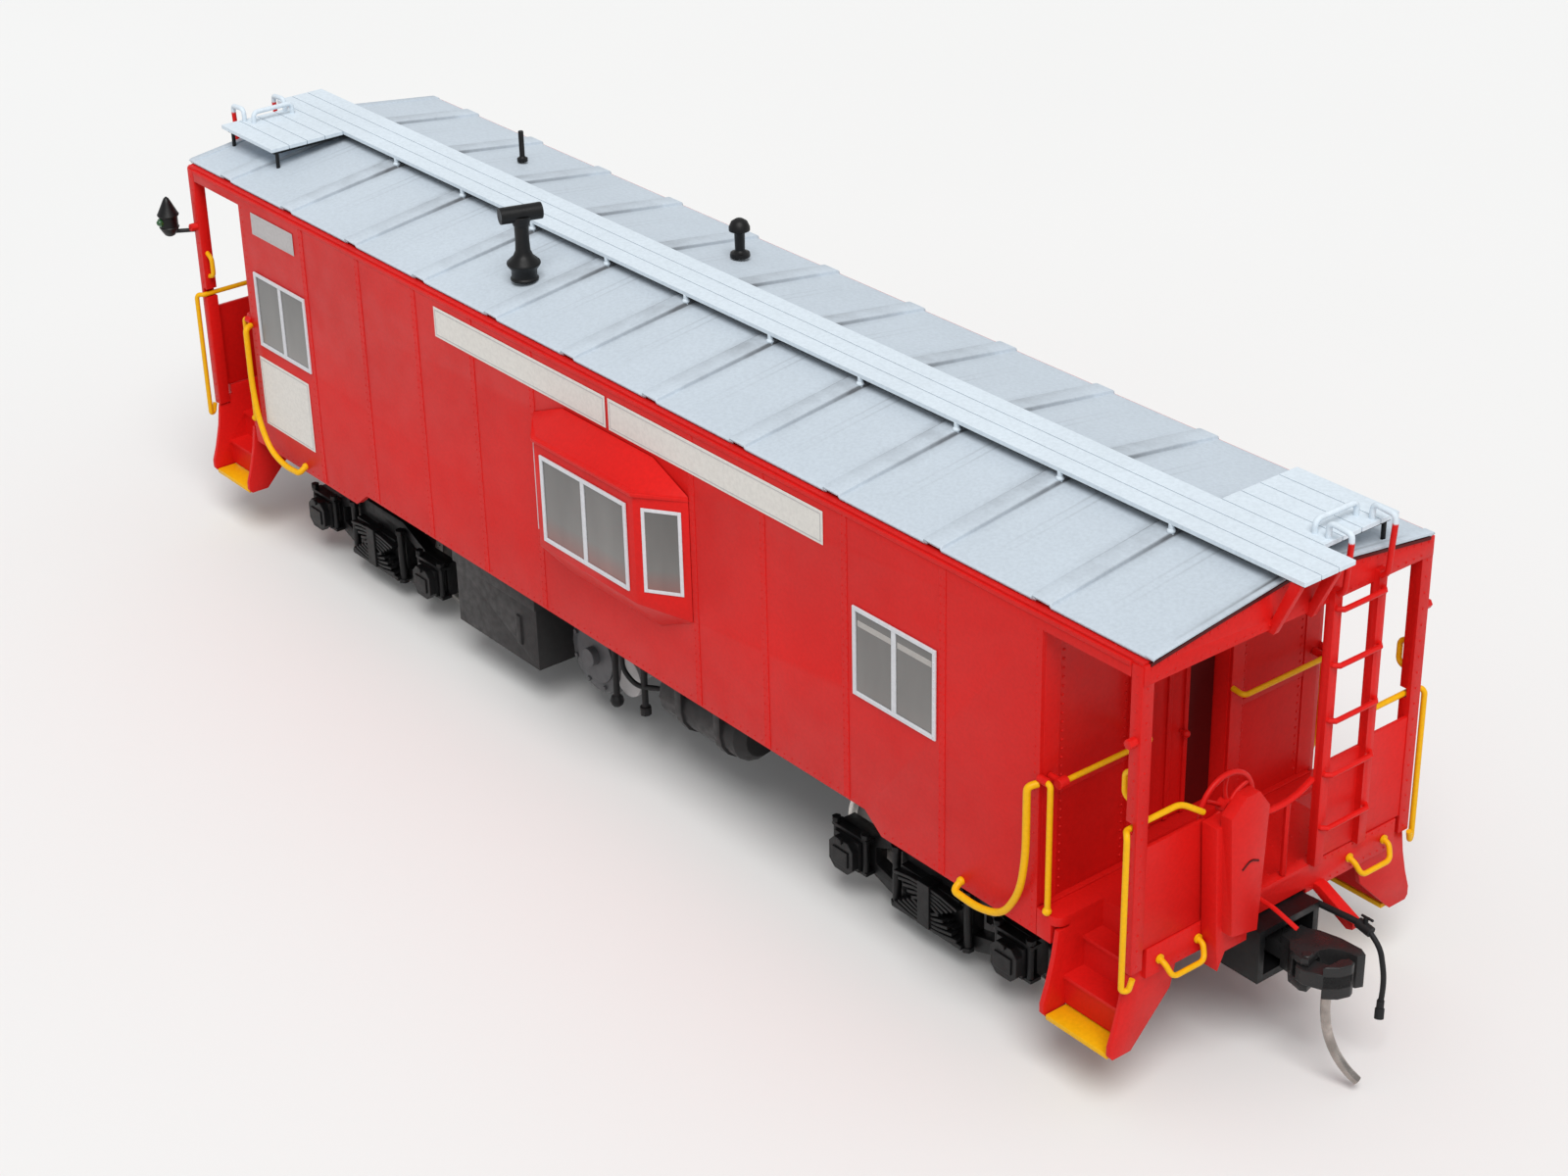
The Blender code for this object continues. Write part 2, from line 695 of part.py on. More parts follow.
def sill_outline():
    """The end sill, notched over the coupler's box."""
    notch_half, notch_top = BOX_HALF + 0.3, BOX_TOP + 0.2
    half = [(notch_half, notch_top), (notch_half, SILL_BOTTOM), (SILL_HALF, SILL_BOTTOM), (SILL_HALF, SILL_TOP)]
    return half + [(-y, z) for y, z in reversed(half)]


def stringer_outline(side):
    half = [
        (17.1, 14.2), (17.5, 11.6), (18.1, 9.2), (18.7, 7.4), (18.7, 6.5), (18.4, 6.1),
        (16.3, 6.1), (WELL_SIDE, 10.6), (WELL_SIDE - 0.5, 12.6), (WELL_SIDE - 0.5, DECK_TOP - 0.3), (15.8, DECK_TOP - 0.3), (15.8, 14.2),
    ]
    return [(side * y, z) for y, z in half]


def stair_outline(side):
    """Risers and treads above the lowest tread, as one folded strip."""
    sheet = 0.35
    second, third = TREAD_TOPS[1], TREAD_TOPS[2]
    front = [
        (TREAD_NOSES[1] - 0.2, TREAD_TOPS[0] + 0.15),
        (TREAD_NOSES[1] - 0.2, second - sheet),
        (TREAD_NOSES[1], second - sheet),
        (TREAD_NOSES[1], second),
        (TREAD_NOSES[2] - 0.2, second),
        (TREAD_NOSES[2] - 0.2, third - sheet),
        (TREAD_NOSES[2], third - sheet),
        (TREAD_NOSES[2], third),
        (WELL_SIDE, third),
        (WELL_SIDE, DECK_TOP - 0.2),
    ]
    back = [
        (WELL_SIDE - sheet, DECK_TOP - 0.2),
        (WELL_SIDE - sheet, third - sheet),
        (TREAD_NOSES[2] - 0.2 - sheet, third - sheet),
        (TREAD_NOSES[2] - 0.2 - sheet, second - sheet),
        (TREAD_NOSES[1] - 0.2 - sheet, second - sheet),
        (TREAD_NOSES[1] - 0.2 - sheet, TREAD_TOPS[0] + 0.15),
    ]
    return [(side * y, z) for y, z in front + back]


def make_platform(name, end):
    deck = flat([deck_outline()], "xy", DECK_TOP - DECK_THICK, DECK_TOP)
    joined = [flat([sill_outline()], "yz", SILL_BACK, SILL_FRONT)]
    for side in (-1, 1):
        skirt_low, skirt_high = sorted((side * (BODY_SIDE - WALL), side * BODY_SIDE))
        outline = rectangle(BODY_END + GAP, WELL_NEAR - 0.9, skirt_low, skirt_high)
        joined.append(flat([outline], "xy", DROP_BOTTOM, DECK_TOP - 0.2))
        for x in (WELL_NEAR - STRINGER, WELL_FAR):
            joined.append(flat([stringer_outline(side)], "yz", x, x + STRINGER))
        joined.append(flat([stair_outline(side)], "yz", WELL_NEAR - 0.1, WELL_FAR + 0.1))
    strap = [(SILL_FRONT - 0.3, 13.9), (SILL_FRONT + 0.6, 13.9), (80.9, 12.0), (80.9, 11.4), (80.2, 11.2), (SILL_FRONT - 0.3, 13.4)]
    joined.append(flat([strap], "xz", 5.0, 6.1))
    lever = [(SILL_FRONT - 0.2, -2.4, 15.8), (78.2, -2.2, 15.5), (80.6, -1.8, 14.4)]
    joined.append(wire(bend(lever, 0.5), 0.22))
    node(name, deck, "red", add=joined, parent=end)


def make_step_tread(name, end, side):
    far, near = sorted((side * TREAD_NOSES[0], side * (TREAD_NOSES[1] - 0.6)))
    plate = box(
        (WELL_NEAR + GAP, far, TREAD_TOPS[0] - 0.5),
        (WELL_FAR - GAP, near, TREAD_TOPS[0]),
    )
    node(name, plate, "yellow", parent=end)


def fascia_outline():
    under = ROOF_THICK + GAP
    edge = POST_OUTER - 0.1
    half = [
        (0, RIDGE - under),
        (ROOF_SIDE, EAVE - under),
        (edge, EAVE - under),
        (edge, FASCIA_BOTTOM),
    ]
    return half + [(-y, z) for y, z in reversed(half)][:-1]


def corner_post(side):
    """A corner post, and the notch at its back where the end rail runs through."""
    low, high = sorted((side * POST_INNER, side * POST_OUTER))
    post = box((POST_BACK, low, 14.4), (POST_FRONT, high, SIDE_TOP - 0.1))
    notch = box(
        (POST_BACK - 1, low - 1, RAIL_HIGH - WIRE - 0.2),
        (POST_FRONT - 0.45, high + 1, RAIL_HIGH + WIRE + 0.2),
    )
    return post, notch


def post_fittings(side):
    """The small loop and the lamp bracket on a corner post."""
    x = (POST_BACK + POST_FRONT) / 2
    y, back = side * (POST_INNER + POST_OUTER) / 2, POST_BACK + 0.3
    loop = [(back, y, 33.4), (back - 1.2, y, 32.9), (back - 1.2, y, 30.8), (back, y, 30.4)]
    bracket = cylinder((x, side * 17.0, 36.6), (x, side * 18.0, 36.6), 0.45, 6)
    return [wire(bend(loop, 0.5), 0.25), bracket]


def gusset(y):
    outline = [
        (POST_FRONT - 0.3, FASCIA_BOTTOM - 0.3),
        (POST_FRONT + 0.5, FASCIA_BOTTOM - 0.3),
        (WALK_END - 0.6, WALK_TOP - WALK_THICK - 0.5),
        (WALK_END - 0.6, WALK_TOP - WALK_THICK - GAP),
        (WALK_END - 1.5, WALK_TOP - WALK_THICK - GAP),
        (POST_FRONT + 0.2, FASCIA_BOTTOM + 0.9),
        (POST_FRONT - 0.3, FASCIA_BOTTOM + 0.9),
    ]
    return flat([outline], "xz", y - 0.3, y + 0.3)


def ladder():
    pieces = []
    for low, high in STILES:
        pieces.append(box((STILE_BACK, low, PANEL_BOTTOM), (STILE_FRONT, high, STILE_TOP)))
    first, last = STILES[0][0] + 0.3, STILES[1][1] - 0.5
    for step in range(RUNG_COUNT):
        z = RUNG_FIRST + RUNG_STEP * step
        front = STILE_FRONT + 0.55
        rung = [(STILE_FRONT - 0.3, first, z), (front, first, z), (front, last, z), (STILE_FRONT - 0.3, last, z)]
        pieces.append(wire(bend(rung, 0.4, 1), 0.26))
    low, high = STILES[0][1] - 0.2, STILES[1][0] + 0.2
    pieces.append(box((PANEL_BACK + 0.1, low, PANEL_BOTTOM + 0.1), (POST_FRONT, high, 25.9)))
    return pieces


def gate():
    """The sagging bar across the gangway, with its post."""
    x = 76.0
    bar = [(x, -4.8, 24.4), (x, -2.6, 23.8), (x, 0.2, 23.5), (x, 2.4, 23.8), (x, 4.2, 24.7)]
    post = [(x, 1.2, PANEL_BOTTOM + 0.05), (x, 1.2, 23.6)]
    return [wire(bend(bar, 1.0, 2), 0.32), wire(post, 0.3)]


def make_end_frame(name, end):
    fascia = flat([fascia_outline()], "yz", POST_FRONT - 0.6, POST_FRONT + 0.1)
    joined = ladder() + gate() + [gusset(-2.6), gusset(1.9)]
    posts = [corner_post(side) for side in (-1, 1)]
    for side in (-1, 1):
        joined += post_fittings(side)
    panel_front = POST_FRONT - 0.1
    for low, high in ((-POST_INNER - 0.2, -9.1), (STILES[1][1] - 0.2, POST_INNER + 0.2)):
        joined.append(box((PANEL_BACK, low, PANEL_BOTTOM), (panel_front, high, PANEL_TOP)))
    frame = node(name, fascia, "red", add=[post for post, _ in posts], cut=[notch for _, notch in posts], parent=end)
    boolean(frame, "UNION", joined, end)


def make_brake_stand(name, end):
    """A tapered cover with its top corners cut off, on a wider back plate whose lower corner reaches down."""
    cover = [(-8.4, 15.8), (-5.3, 15.2), (-4.7, 27.3), (-6.0, 29.1), (-7.5, 29.1), (-9.2, 27.6)]
    back_plate = [(-8.7, 11.9), (-7.9, 13.6), (-5.3, 13.6), (-4.95, 26.4), (-9.7, 26.4), (-9.1, 15.8)]
    back = SILL_FRONT + 0.1
    housing = flat([cover], "yz", BRAKE_STEP, BRAKE_FRONT)
    joined = [
        flat([back_plate], "yz", back, BRAKE_STEP + 0.1),
        cylinder((back - 0.6, *BRAKE_WHEEL[1:]), (back + 0.3, *BRAKE_WHEEL[1:]), 0.45, 8),
    ]
    node(name, housing, "red", add=joined, parent=end)


def make_brake_wheel(name, end):
    bm = bmesh.new()
    sides, facets, rim = 20, 5, 0.28
    ring = [bm.verts.new(Vector((BRAKE_WHEEL_RADIUS + rim * math.cos(a), 0, rim * math.sin(a))) * MM)
            for a in (math.tau * step / facets for step in range(facets))]
    for first, second in zip(ring, ring[1:] + ring[:1]):
        bm.edges.new((first, second))
    centre = Vector(BRAKE_WHEEL)
    wheel = mesh_object(bm, centre)
    screw = wheel.modifiers.new("turn", "SCREW")
    screw.angle = math.tau
    screw.steps = sides
    screw.render_steps = sides
    screw.use_merge_vertices = True
    screw.merge_threshold = 1e-6
    screw.use_normal_flip = True
    wheel.rotation_euler.y = math.radians(90)
    joined = [cylinder(centre - Vector((0.5, 0, 0)), centre + Vector((0.5, 0, 0)), 0.7, 10)]
    for step in range(6):
        angle = math.radians(30 + 60 * step)
        out = Vector((0, math.cos(angle), math.sin(angle))) * BRAKE_WHEEL_RADIUS
        joined.append(cylinder(centre, centre + out, 0.22, 5))
    node(name, wheel, "red", add=joined, parent=end)


def make_corner_rail(name, end, side):
    """The curved side grab, the upright at the body's corner and the rail along the end wall."""
    out, wall_x = 18.2, BODY_END + 1.5
    eye = (wall_x - 0.1, side * 17.1, 28.1)
    grab = [
        (55.6, side * (BODY_SIDE + 0.15), 13.5),
        (55.6, side * out, 12.7),
        (59.6, side * out, 12.5),
        (62.4, side * out, 14.0),
        (64.2, side * out, 17.2),
        (64.6, side * out, 21.0),
        (64.6, side * out, 27.7),
        (65.5, side * 17.9, 28.1),
        eye,
        (wall_x, side * 15.8, 28.1),
        (wall_x, side * 5.6, 28.1),
        (BODY_END + 0.1, side * 5.6, 28.3),
    ]
    upright = [
        (wall_x - 0.1, side * 17.1, 28.1),
        (wall_x - 0.1, side * 17.1, 16.2),
        (wall_x - 0.1, side * 17.7, 15.9),
    ]
    node(name, wire(bend(grab, 1.0, 2)), "yellow", add=[wire(upright)], parent=end)


def make_end_rail(name, end, side):
    """The upright grab on a corner post, and the rail that it becomes above the end panel."""
    x_post, x_rail = 76.8, POST_BACK + WIRE + 0.05
    points = [
        (77.0, side * 17.5, 14.8),
        (76.9, side * 17.8, 13.6),
        (x_post, side * 18.6, 13.8),
        (x_post, side * 18.6, RAIL_HIGH - 0.5),
        (76.0, side * 18.2, RAIL_HIGH),
        (x_rail, side * 17.6, RAIL_HIGH),
    ]
    if side < 0:
        points += [(x_rail, -11.3, RAIL_HIGH), (76.0, -9.9, 27.4), (76.2, -9.35, 27.0)]
    else:
        points.append((x_rail, STILES[1][1] + 0.15, RAIL_HIGH))
    node(name, wire(bend(points, 0.7, 2)), "yellow", parent=end)


def make_sill_grab(name, end, side):
    foot, drop = SILL_FRONT + 0.12, 13.3
    points = [
        (foot, side * 13.9, 14.7),
        (77.0, side * 13.9, 14.5),
        (77.6, side * 13.5, drop),
        (77.6, side * 9.8, drop),
        (77.0, side * 9.4, 14.5),
        (foot, side * 9.4, 14.7),
    ]
    node(name, wire(bend(points, 0.6, 2)), "yellow", parent=end)


def make_air_hose(name, end):
    pipe = [(78.5, 4.3, 12.9), (79.9, 4.4, 12.9), (81.6, 4.6, 12.9), (83.3, 4.6, 12.6)]
    hose = [(83.0, 4.6, 12.7), (84.3, 4.75, 11.4), (84.8, 5.0, 8.4), (84.7, 4.85, 5.4)]
    joined = [
        wire(bend(hose, 1.5), 0.3),
        cylinder((81.6, 4.6, 12.9), (83.4, 4.6, 12.6), 0.55, 8),
        cylinder((84.72, 4.88, 5.8), (84.7, 4.8, 4.6), 0.45, 8),
    ]
    node(name, wire(pipe, 0.36), "rubber", add=joined, parent=end)


def make_end(word, turn):
    end = empty(f"end_{word}", turn=turn)
    make_platform(f"platform_{word}", end)
    make_end_frame(f"end_frame_{word}", end)
    make_brake_stand(f"brake_stand_{word}", end)
    make_brake_wheel(f"brake_wheel_{word}", end)
    make_air_hose(f"air_hose_{word}", end)
    for hand, side in (("left", -1), ("right", 1)):
        make_step_tread(f"step_tread_{word}_{hand}", end, side)
        make_corner_rail(f"corner_rail_{word}_{hand}", end, side)
        make_end_rail(f"end_rail_{word}_{hand}", end, side)
        make_sill_grab(f"sill_grab_{word}_{hand}", end, side)
    make_coupler(word, end)


def make_marker_lamp(name, side):
    """A marker lamp on a bracket beside a rear corner post."""
    place = Vector((-77.5, side * 19.7, 35.6))
    profile = [(0, 4.8), (0.35, 4.3), (1.25, 2.6), (1.25, 1.2), (0.8, 0), (0, 0)]
    lamp = turned(profile, 8)
    lamp.location = place * MM
    arm = cylinder(place + Vector((0, 0, 0.5)), (-76.6, side * 18.1, 36.1), 0.25, 6)
    node(name, lamp, "black", add=[arm])


# ---------------------------------------------------------------- trucks


def truck_side_outline():
    half = [
        (0, 9.6), (4.6, 9.6), (9.1, 7.7), (13.3, 7.7), (13.3, 3.7), (9.5, 3.7), (5.4, 2.3), (0, 2.3),
    ]
    return half + [(-x, z) for x, z in reversed(half)][1:-1]


def truck_windows():
    half = [(4.9, 3.9), (8.6, 4.8), (8.6, 6.6), (4.9, 8.1)]
    return [half, [(-x, z) for x, z in half]]


def truck_side(side):
    low, high = sorted((side * FRAME_INNER, side * FRAME_OUTER))
    pieces = [flat([truck_side_outline()] + truck_windows(), "xz", low, high)]
    for x in (-AXLE_X, AXLE_X):
        pieces.append(box((x - 1.7, side * FRAME_INNER, 3.9), (x + 1.7, side * 14.2, 7.1)))
        pieces.append(box((x - 1.3, side * 14.0, 4.2), (x + 1.3, side * 14.6, 6.4)))
    leaves = 4
    for leaf in range(leaves):
        reach = 4.0 - leaf * 0.7
        for z in (3.0 + leaf * 0.62, 7.0 - leaf * 0.62):
            pieces.append(box((-reach, side * 12.0, z), (reach, side * 13.7, z + 0.45)))
    pieces.append(box((-0.7, side * 12.0, 2.8), (0.7, side * 13.9, 7.6)))
    return pieces


def make_truck_frame(name, centre):
    bolster = box((-2.4, -FRAME_INNER - 0.5, 6.9), (2.4, FRAME_INNER + 0.5, 9.3))
    plate = cylinder((0, 0, 9.0), (0, 0, 10.8), 3.0, 16)
    left, right = truck_side(-1), truck_side(1)
    cuts = [cylinder((0, 0, 5), (0, 0, 12), KINGPIN_HOLE, 12)]
    for x in (-AXLE_X, AXLE_X):
        cuts.append(cylinder((x, -BEARING_END, AXLE_Z), (x, BEARING_END, AXLE_Z), BEARING, 16))
    node(name, bolster, "black", add=[plate] + left + right, cut=cuts, parent=centre)


def wheel_profile():
    """Half of a wheelset, from its middle out to the journal's end, as (radius, distance from the middle)."""
    return [
        (0.8, 0.0),
        (0.8, 6.9),
        (1.5, 7.3),
        (1.9, 7.9),
        (4.0, 7.7),
        (4.3, 7.25),
        (5.1, 7.25),
        (FLANGE, 7.45),
        (FLANGE, 7.75),
        (TREAD, 8.1),
        (TREAD - 0.08, 10.05),
        (4.3, 10.05),
        (4.0, 9.4),
        (1.9, 9.2),
        (1.5, 10.2),
        (JOURNAL, 10.3),
        (JOURNAL, JOURNAL_END),
        (0.0, JOURNAL_END),
    ]


def make_wheelset(name, x, centre):
    half = wheel_profile()
    profile = [(radius, along) for radius, along in reversed(half)] + [(radius, -along) for radius, along in half[1:]]
    wheels = turned(profile, WHEEL_SIDES)
    wheels.location = Vector((x, 0, AXLE_Z)) * MM
    wheels.rotation_euler.x = math.radians(90)
    node(name, wheels, "steel", parent=centre)


def make_truck(word, x):
    centre = empty(f"truck_{word}", (x, 0, 0))
    make_truck_frame(f"truck_frame_{word}", centre)
    for place, offset in (("front", AXLE_X), ("rear", -AXLE_X)):
        make_wheelset(f"wheelset_{word}_{place}", offset, centre)


# ---------------------------------------------------------------- coupler, in the frame of its end


def coupler_outline():
    """The head and its guard arm, from above."""
    return [
        (78.4, -1.2), (79.4, -1.3), (80.3, -2.2), (81.8, -2.5), (82.4, -2.2), (82.0, -0.5), (82.4, 0.4),
        (83.3, 1.0), (84.7, 1.3), (85.0, 2.0), (84.2, 2.4), (82.0, 2.3), (80.0, 1.8), (79.2, 1.3), (78.4, 1.2),
    ]


def knuckle_outline():
    return [
        (81.0, -2.1), (81.4, -2.7), (82.4, -2.8), (83.9, -2.2), (84.9, -1.1), (85.3, 0.0), (85.1, 0.55),
        (84.4, 0.6), (84.0, 0.0), (83.2, -0.5), (82.4, -0.75), (81.5, -0.95), (81.0, -1.4),
    ]


def make_coupler(word, end):
    low, high = COUPLER_Z - 1.6, COUPLER_Z + 1.7
    pivot = (COUPLER_X, 0, COUPLER_Z)
    head = flat([coupler_outline()], "xy", low, high)
    shank = box((COUPLER_X, -1.2, COUPLER_Z - 0.8), (79.0, 1.2, COUPLER_Z + 0.8))
    eye = cylinder((COUPLER_X, 0, COUPLER_Z - 0.8), (COUPLER_X, 0, COUPLER_Z + 0.8), 2.0, 16)
    hole = cylinder((COUPLER_X, 0, COUPLER_Z - 2), (COUPLER_X, 0, COUPLER_Z + 2), COUPLER_EYE, 16)
    mouth = [(80.7, -3.4), (83.4, -3.4), (83.4, -0.2), (82.2, -0.35), (81.3, -0.45), (80.7, -1.1)]
    slot = flat([mouth], "xy", low + 0.9, high - 0.7)
    turn = empty(f"coupler_pivot_{word}", pivot, parent=end)
    pieces = [head, shank, eye, hole, slot]
    knuckle_low, knuckle_high = low + 0.98, high - 0.78
    hook = flat([knuckle_outline()], "xy", knuckle_low, knuckle_high)
    tip = [point for point in knuckle_outline() if point[0] > 83.25]
    face = flat([tip], "xy", low, high)
    bore = cylinder((KNUCKLE_X, KNUCKLE_Y, low - 1), (KNUCKLE_X, KNUCKLE_Y, high + 1), KNUCKLE_EYE, 12)
    pin = cylinder((KNUCKLE_X, KNUCKLE_Y, low + 0.3), (KNUCKLE_X, KNUCKLE_Y, high - 0.3), KNUCKLE_PIN, 12)
    trip = [
        (83.8, -1.3, low + 0.5), (83.8, -1.3, 7.4), (84.1, -1.1, 5.2), (84.8, -0.7, 3.3), (85.7, -0.2, 1.9), (86.6, 0.3, 1.0),
    ]
    trip_pin = wire(bend(trip, 1.0, 2), 0.43)
    for piece in pieces + [hook, face, bore, pin, trip_pin]:
        piece.location -= Vector(pivot) * MM
    body = node(f"coupler_{word}", shank, "black", add=[head, eye], cut=[slot, hole], parent=turn)
    boolean(body, "UNION", [pin], turn)
    node(f"knuckle_{word}", hook, "black", add=[face, trip_pin], cut=[bore], parent=turn)


# ---------------------------------------------------------------- the whole model


make_body_shell()
for hand, side in (("left", -1), ("right", 1)):
    make_bay(f"bay_{hand}", side)
    make_bay_frame(f"bay_frame_{hand}", side)
    make_glazing(f"glazing_{hand}", side)
    window_frame(f"window_frame_near_{hand}", NEAR_WINDOW, side)
    window_frame(f"window_frame_far_{hand}", FAR_WINDOW, side)
    make_marker_lamp(f"marker_lamp_{hand}", side)
make_roof()
make_roof_walk()
make_smoke_jack()
make_roof_vent()
make_vent_pipe()
make_underframe()
make_weight()
make_fuel_box()
make_air_reservoir()
make_brake_cylinder()
make_end("front", 0)
make_end("rear", 180)
make_truck("front", TRUCK_X)
make_truck("rear", -TRUCK_X)
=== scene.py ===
"""The looks of the model caboose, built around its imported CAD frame.

Lengths are in millimetres until a mesh is made.
"""

import math

import bmesh
import bpy
from mathutils import Matrix, Vector


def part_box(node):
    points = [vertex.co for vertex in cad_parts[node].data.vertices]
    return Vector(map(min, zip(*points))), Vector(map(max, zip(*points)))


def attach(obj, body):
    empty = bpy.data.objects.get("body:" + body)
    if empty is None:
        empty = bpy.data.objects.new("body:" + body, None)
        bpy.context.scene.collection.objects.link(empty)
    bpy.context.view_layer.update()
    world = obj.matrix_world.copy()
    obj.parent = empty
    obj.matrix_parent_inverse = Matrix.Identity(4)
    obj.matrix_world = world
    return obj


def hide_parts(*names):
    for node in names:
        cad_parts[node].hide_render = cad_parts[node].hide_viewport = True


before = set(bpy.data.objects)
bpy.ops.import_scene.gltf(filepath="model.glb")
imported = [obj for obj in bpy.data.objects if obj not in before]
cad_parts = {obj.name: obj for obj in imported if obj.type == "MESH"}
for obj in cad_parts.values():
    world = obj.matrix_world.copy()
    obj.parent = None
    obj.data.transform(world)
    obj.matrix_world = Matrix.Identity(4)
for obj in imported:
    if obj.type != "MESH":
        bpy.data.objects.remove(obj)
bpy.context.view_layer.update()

MM = 0.001
ENDS = (("front", 1), ("rear", -1))
HANDS = (("left", -1), ("right", 1))
HALF_TURN = Matrix.Rotation(math.pi, 4, "Z")


def span(node):
    """A CAD node's lowest and highest corners, in millimetres."""
    low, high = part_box(node)
    return low / MM, high / MM


# --- camera, light and floor

CAMERA_PLACE = (214.6, -161.45, 156.5)
CAMERA_AZIMUTH, CAMERA_ELEVATION, CAMERA_ROLL = 51.77, 27.99, -1.352
CAMERA_LENS, SENSOR_WIDTH = 67.4, 36


def make_camera():
    """A camera at its place, turned by azimuth and elevation and then rolled about its own axis."""
    azimuth, elevation = math.radians(CAMERA_AZIMUTH), math.radians(CAMERA_ELEVATION)
    level = math.cos(elevation)
    back = Vector((math.sin(azimuth) * level, -math.cos(azimuth) * level, math.sin(elevation)))
    right = Vector((math.cos(azimuth), math.sin(azimuth), 0))
    up = back.cross(right)
    roll = math.radians(CAMERA_ROLL)
    across = right * math.cos(roll) + up * math.sin(roll)
    upward = up * math.cos(roll) - right * math.sin(roll)
    camera = bpy.data.objects.new("camera", bpy.data.cameras.new("camera"))
    camera.data.lens = CAMERA_LENS
    camera.data.sensor_width = SENSOR_WIDTH
    camera.data.clip_start = 0.01
    camera.data.clip_end = 20
    turn = Matrix((across, upward, back)).transposed().to_4x4()
    camera.matrix_world = Matrix.Translation(Vector(CAMERA_PLACE) * MM) @ turn
    bpy.context.scene.collection.objects.link(camera)
    bpy.context.scene.camera = camera


WORLD_STRENGTH = 0.59
SUN_STRENGTH = 2.18
SUN_FROM = (0.46, -0.30, 0.84)
SUN_SPREAD = 35
FLOOR_HALF = 3.0
FLOOR_DROP = 0.00005


def make_studio():
    """An even pale sky, one wide soft sun and a paper floor, in metres, just under the wheels."""
    world = bpy.data.worlds.new("studio")
    world.use_nodes = True
    world.node_tree.nodes["Background"].inputs["Color"].default_value = (0.97, 0.985, 1.0, 1)
    world.node_tree.nodes["Background"].inputs["Strength"].default_value = WORLD_STRENGTH
    bpy.context.scene.world = world
    bpy.context.scene.view_settings.view_transform = "Standard"
    sun = bpy.data.objects.new("sun", bpy.data.lights.new("sun", "SUN"))
    sun.data.energy = SUN_STRENGTH
    sun.data.angle = math.radians(SUN_SPREAD)
    sun.data.color = (1.0, 0.99, 0.975)
    sun.rotation_euler = Vector(SUN_FROM).to_track_quat("Z", "Y").to_euler()
    bpy.context.scene.collection.objects.link(sun)
    floor = bpy.data.meshes.new("floor")
    bm = bmesh.new()
    bmesh.ops.create_grid(bm, x_segments=2, y_segments=2, size=FLOOR_HALF)
    bm.to_mesh(floor)
    bm.free()
    plane = bpy.data.objects.new("floor", floor)
    plane.location.z = -FLOOR_DROP
    floor.materials.append(floor_material())
    bpy.context.scene.collection.objects.link(plane)


# --- materials


def new_material(name, colour, roughness, metallic=0.0, coat=0.0, specular=0.5):
    """A Principled material and the parts of it that the texture functions below reach."""
    made = bpy.data.materials.new(name)
    made.use_nodes = True
    tree = made.node_tree
    shader = tree.nodes["Principled BSDF"]
    shader.inputs["Base Color"].default_value = (*colour, 1)
    shader.inputs["Roughness"].default_value = roughness
    shader.inputs["Metallic"].default_value = metallic
    shader.inputs["Coat Weight"].default_value = coat
    shader.inputs["Coat Roughness"].default_value = 0.25
    shader.inputs["Specular IOR Level"].default_value = specular
    made.diffuse_color = (*colour, 1)
    return made, tree, shader


NOISE_ROUGHNESS = 0.55


def add_node(tree, kind, **values):
    """A node with some of its inputs set; an underscore in a name stands for a space."""
    made = tree.nodes.new(f"ShaderNode{kind}")
    for name, value in values.items():
        made.inputs[name.replace("_", " ")].default_value = value
    return made


def noise(tree, size, detail=3.0, stretch=(1, 1, 1)):
    """Noise whose features are about this many millimetres across, in the model's own space."""
    place = add_node(tree, "TexCoord")
    scaled = add_node(tree, "Mapping", Scale=stretch)
    made = add_node(tree, "TexNoise", Scale=1 / (size * MM), Detail=detail, Roughness=NOISE_ROUGHNESS)
    tree.links.new(place.outputs["Object"], scaled.inputs["Vector"])
    tree.links.new(scaled.outputs["Vector"], made.inputs["Vector"])
    return made.outputs["Fac"]


def ramp(tree, factor, stops):
    """Maps a factor through colour stops, each (place, (r, g, b))."""
    made = add_node(tree, "ValToRGB")
    band = made.color_ramp
    band.elements[0].position, band.elements[1].position = stops[0][0], stops[-1][0]
    band.elements[0].color = (*stops[0][1], 1)
    band.elements[1].color = (*stops[-1][1], 1)
    for place, colour in stops[1:-1]:
        band.elements.new(place).color = (*colour, 1)
    tree.links.new(factor, made.inputs["Fac"])
    return made.outputs["Color"]


def mix(tree, factor, first, second, blend="MIX"):
    """Mixes two colours; factor is a number or a socket."""
    made = add_node(tree, "Mix")
    made.data_type = "RGBA"
    made.blend_type = blend
    for name, value in (("Factor", factor), ("A", first), ("B", second)):
        socket = [s for s in made.inputs if s.name == name and s.enabled][0]
        if hasattr(value, "is_output"):
            tree.links.new(value, socket)
        elif name == "Factor":
            socket.default_value = value
        else:
            socket.default_value = (*value, 1)
    return [s for s in made.outputs if s.enabled][0]


def numbers(tree, factor, low, high):
    """Maps a factor from 0.3 to 0.7 onto a range of numbers."""
    made = add_node(tree, "MapRange", From_Min=0.3, From_Max=0.7, To_Min=low, To_Max=high)
    tree.links.new(factor, made.inputs["Value"])
    return made.outputs["Result"]


def bump(tree, shader, height, depth, strength=0.5):
    """Raises the surface by a height texture, depth in millimetres."""
    made = add_node(tree, "Bump", Strength=strength, Distance=depth * MM)
    tree.links.new(height, made.inputs["Height"])
    tree.links.new(made.outputs["Normal"], shader.inputs["Normal"])


def darker(colour, share):
    """A colour times a number, which may also be over one."""
    return tuple(channel * share for channel in colour)


def grey(level):
    """A neutral colour."""
    return (level, level, level)


def texture(tree, shader, colour, gloss, low, high):
    """Gives the shader a textured colour, and a roughness that a factor moves from low to high."""
    tree.links.new(colour, shader.inputs["Base Color"])
    tree.links.new(numbers(tree, gloss, low, high), shader.inputs["Roughness"])


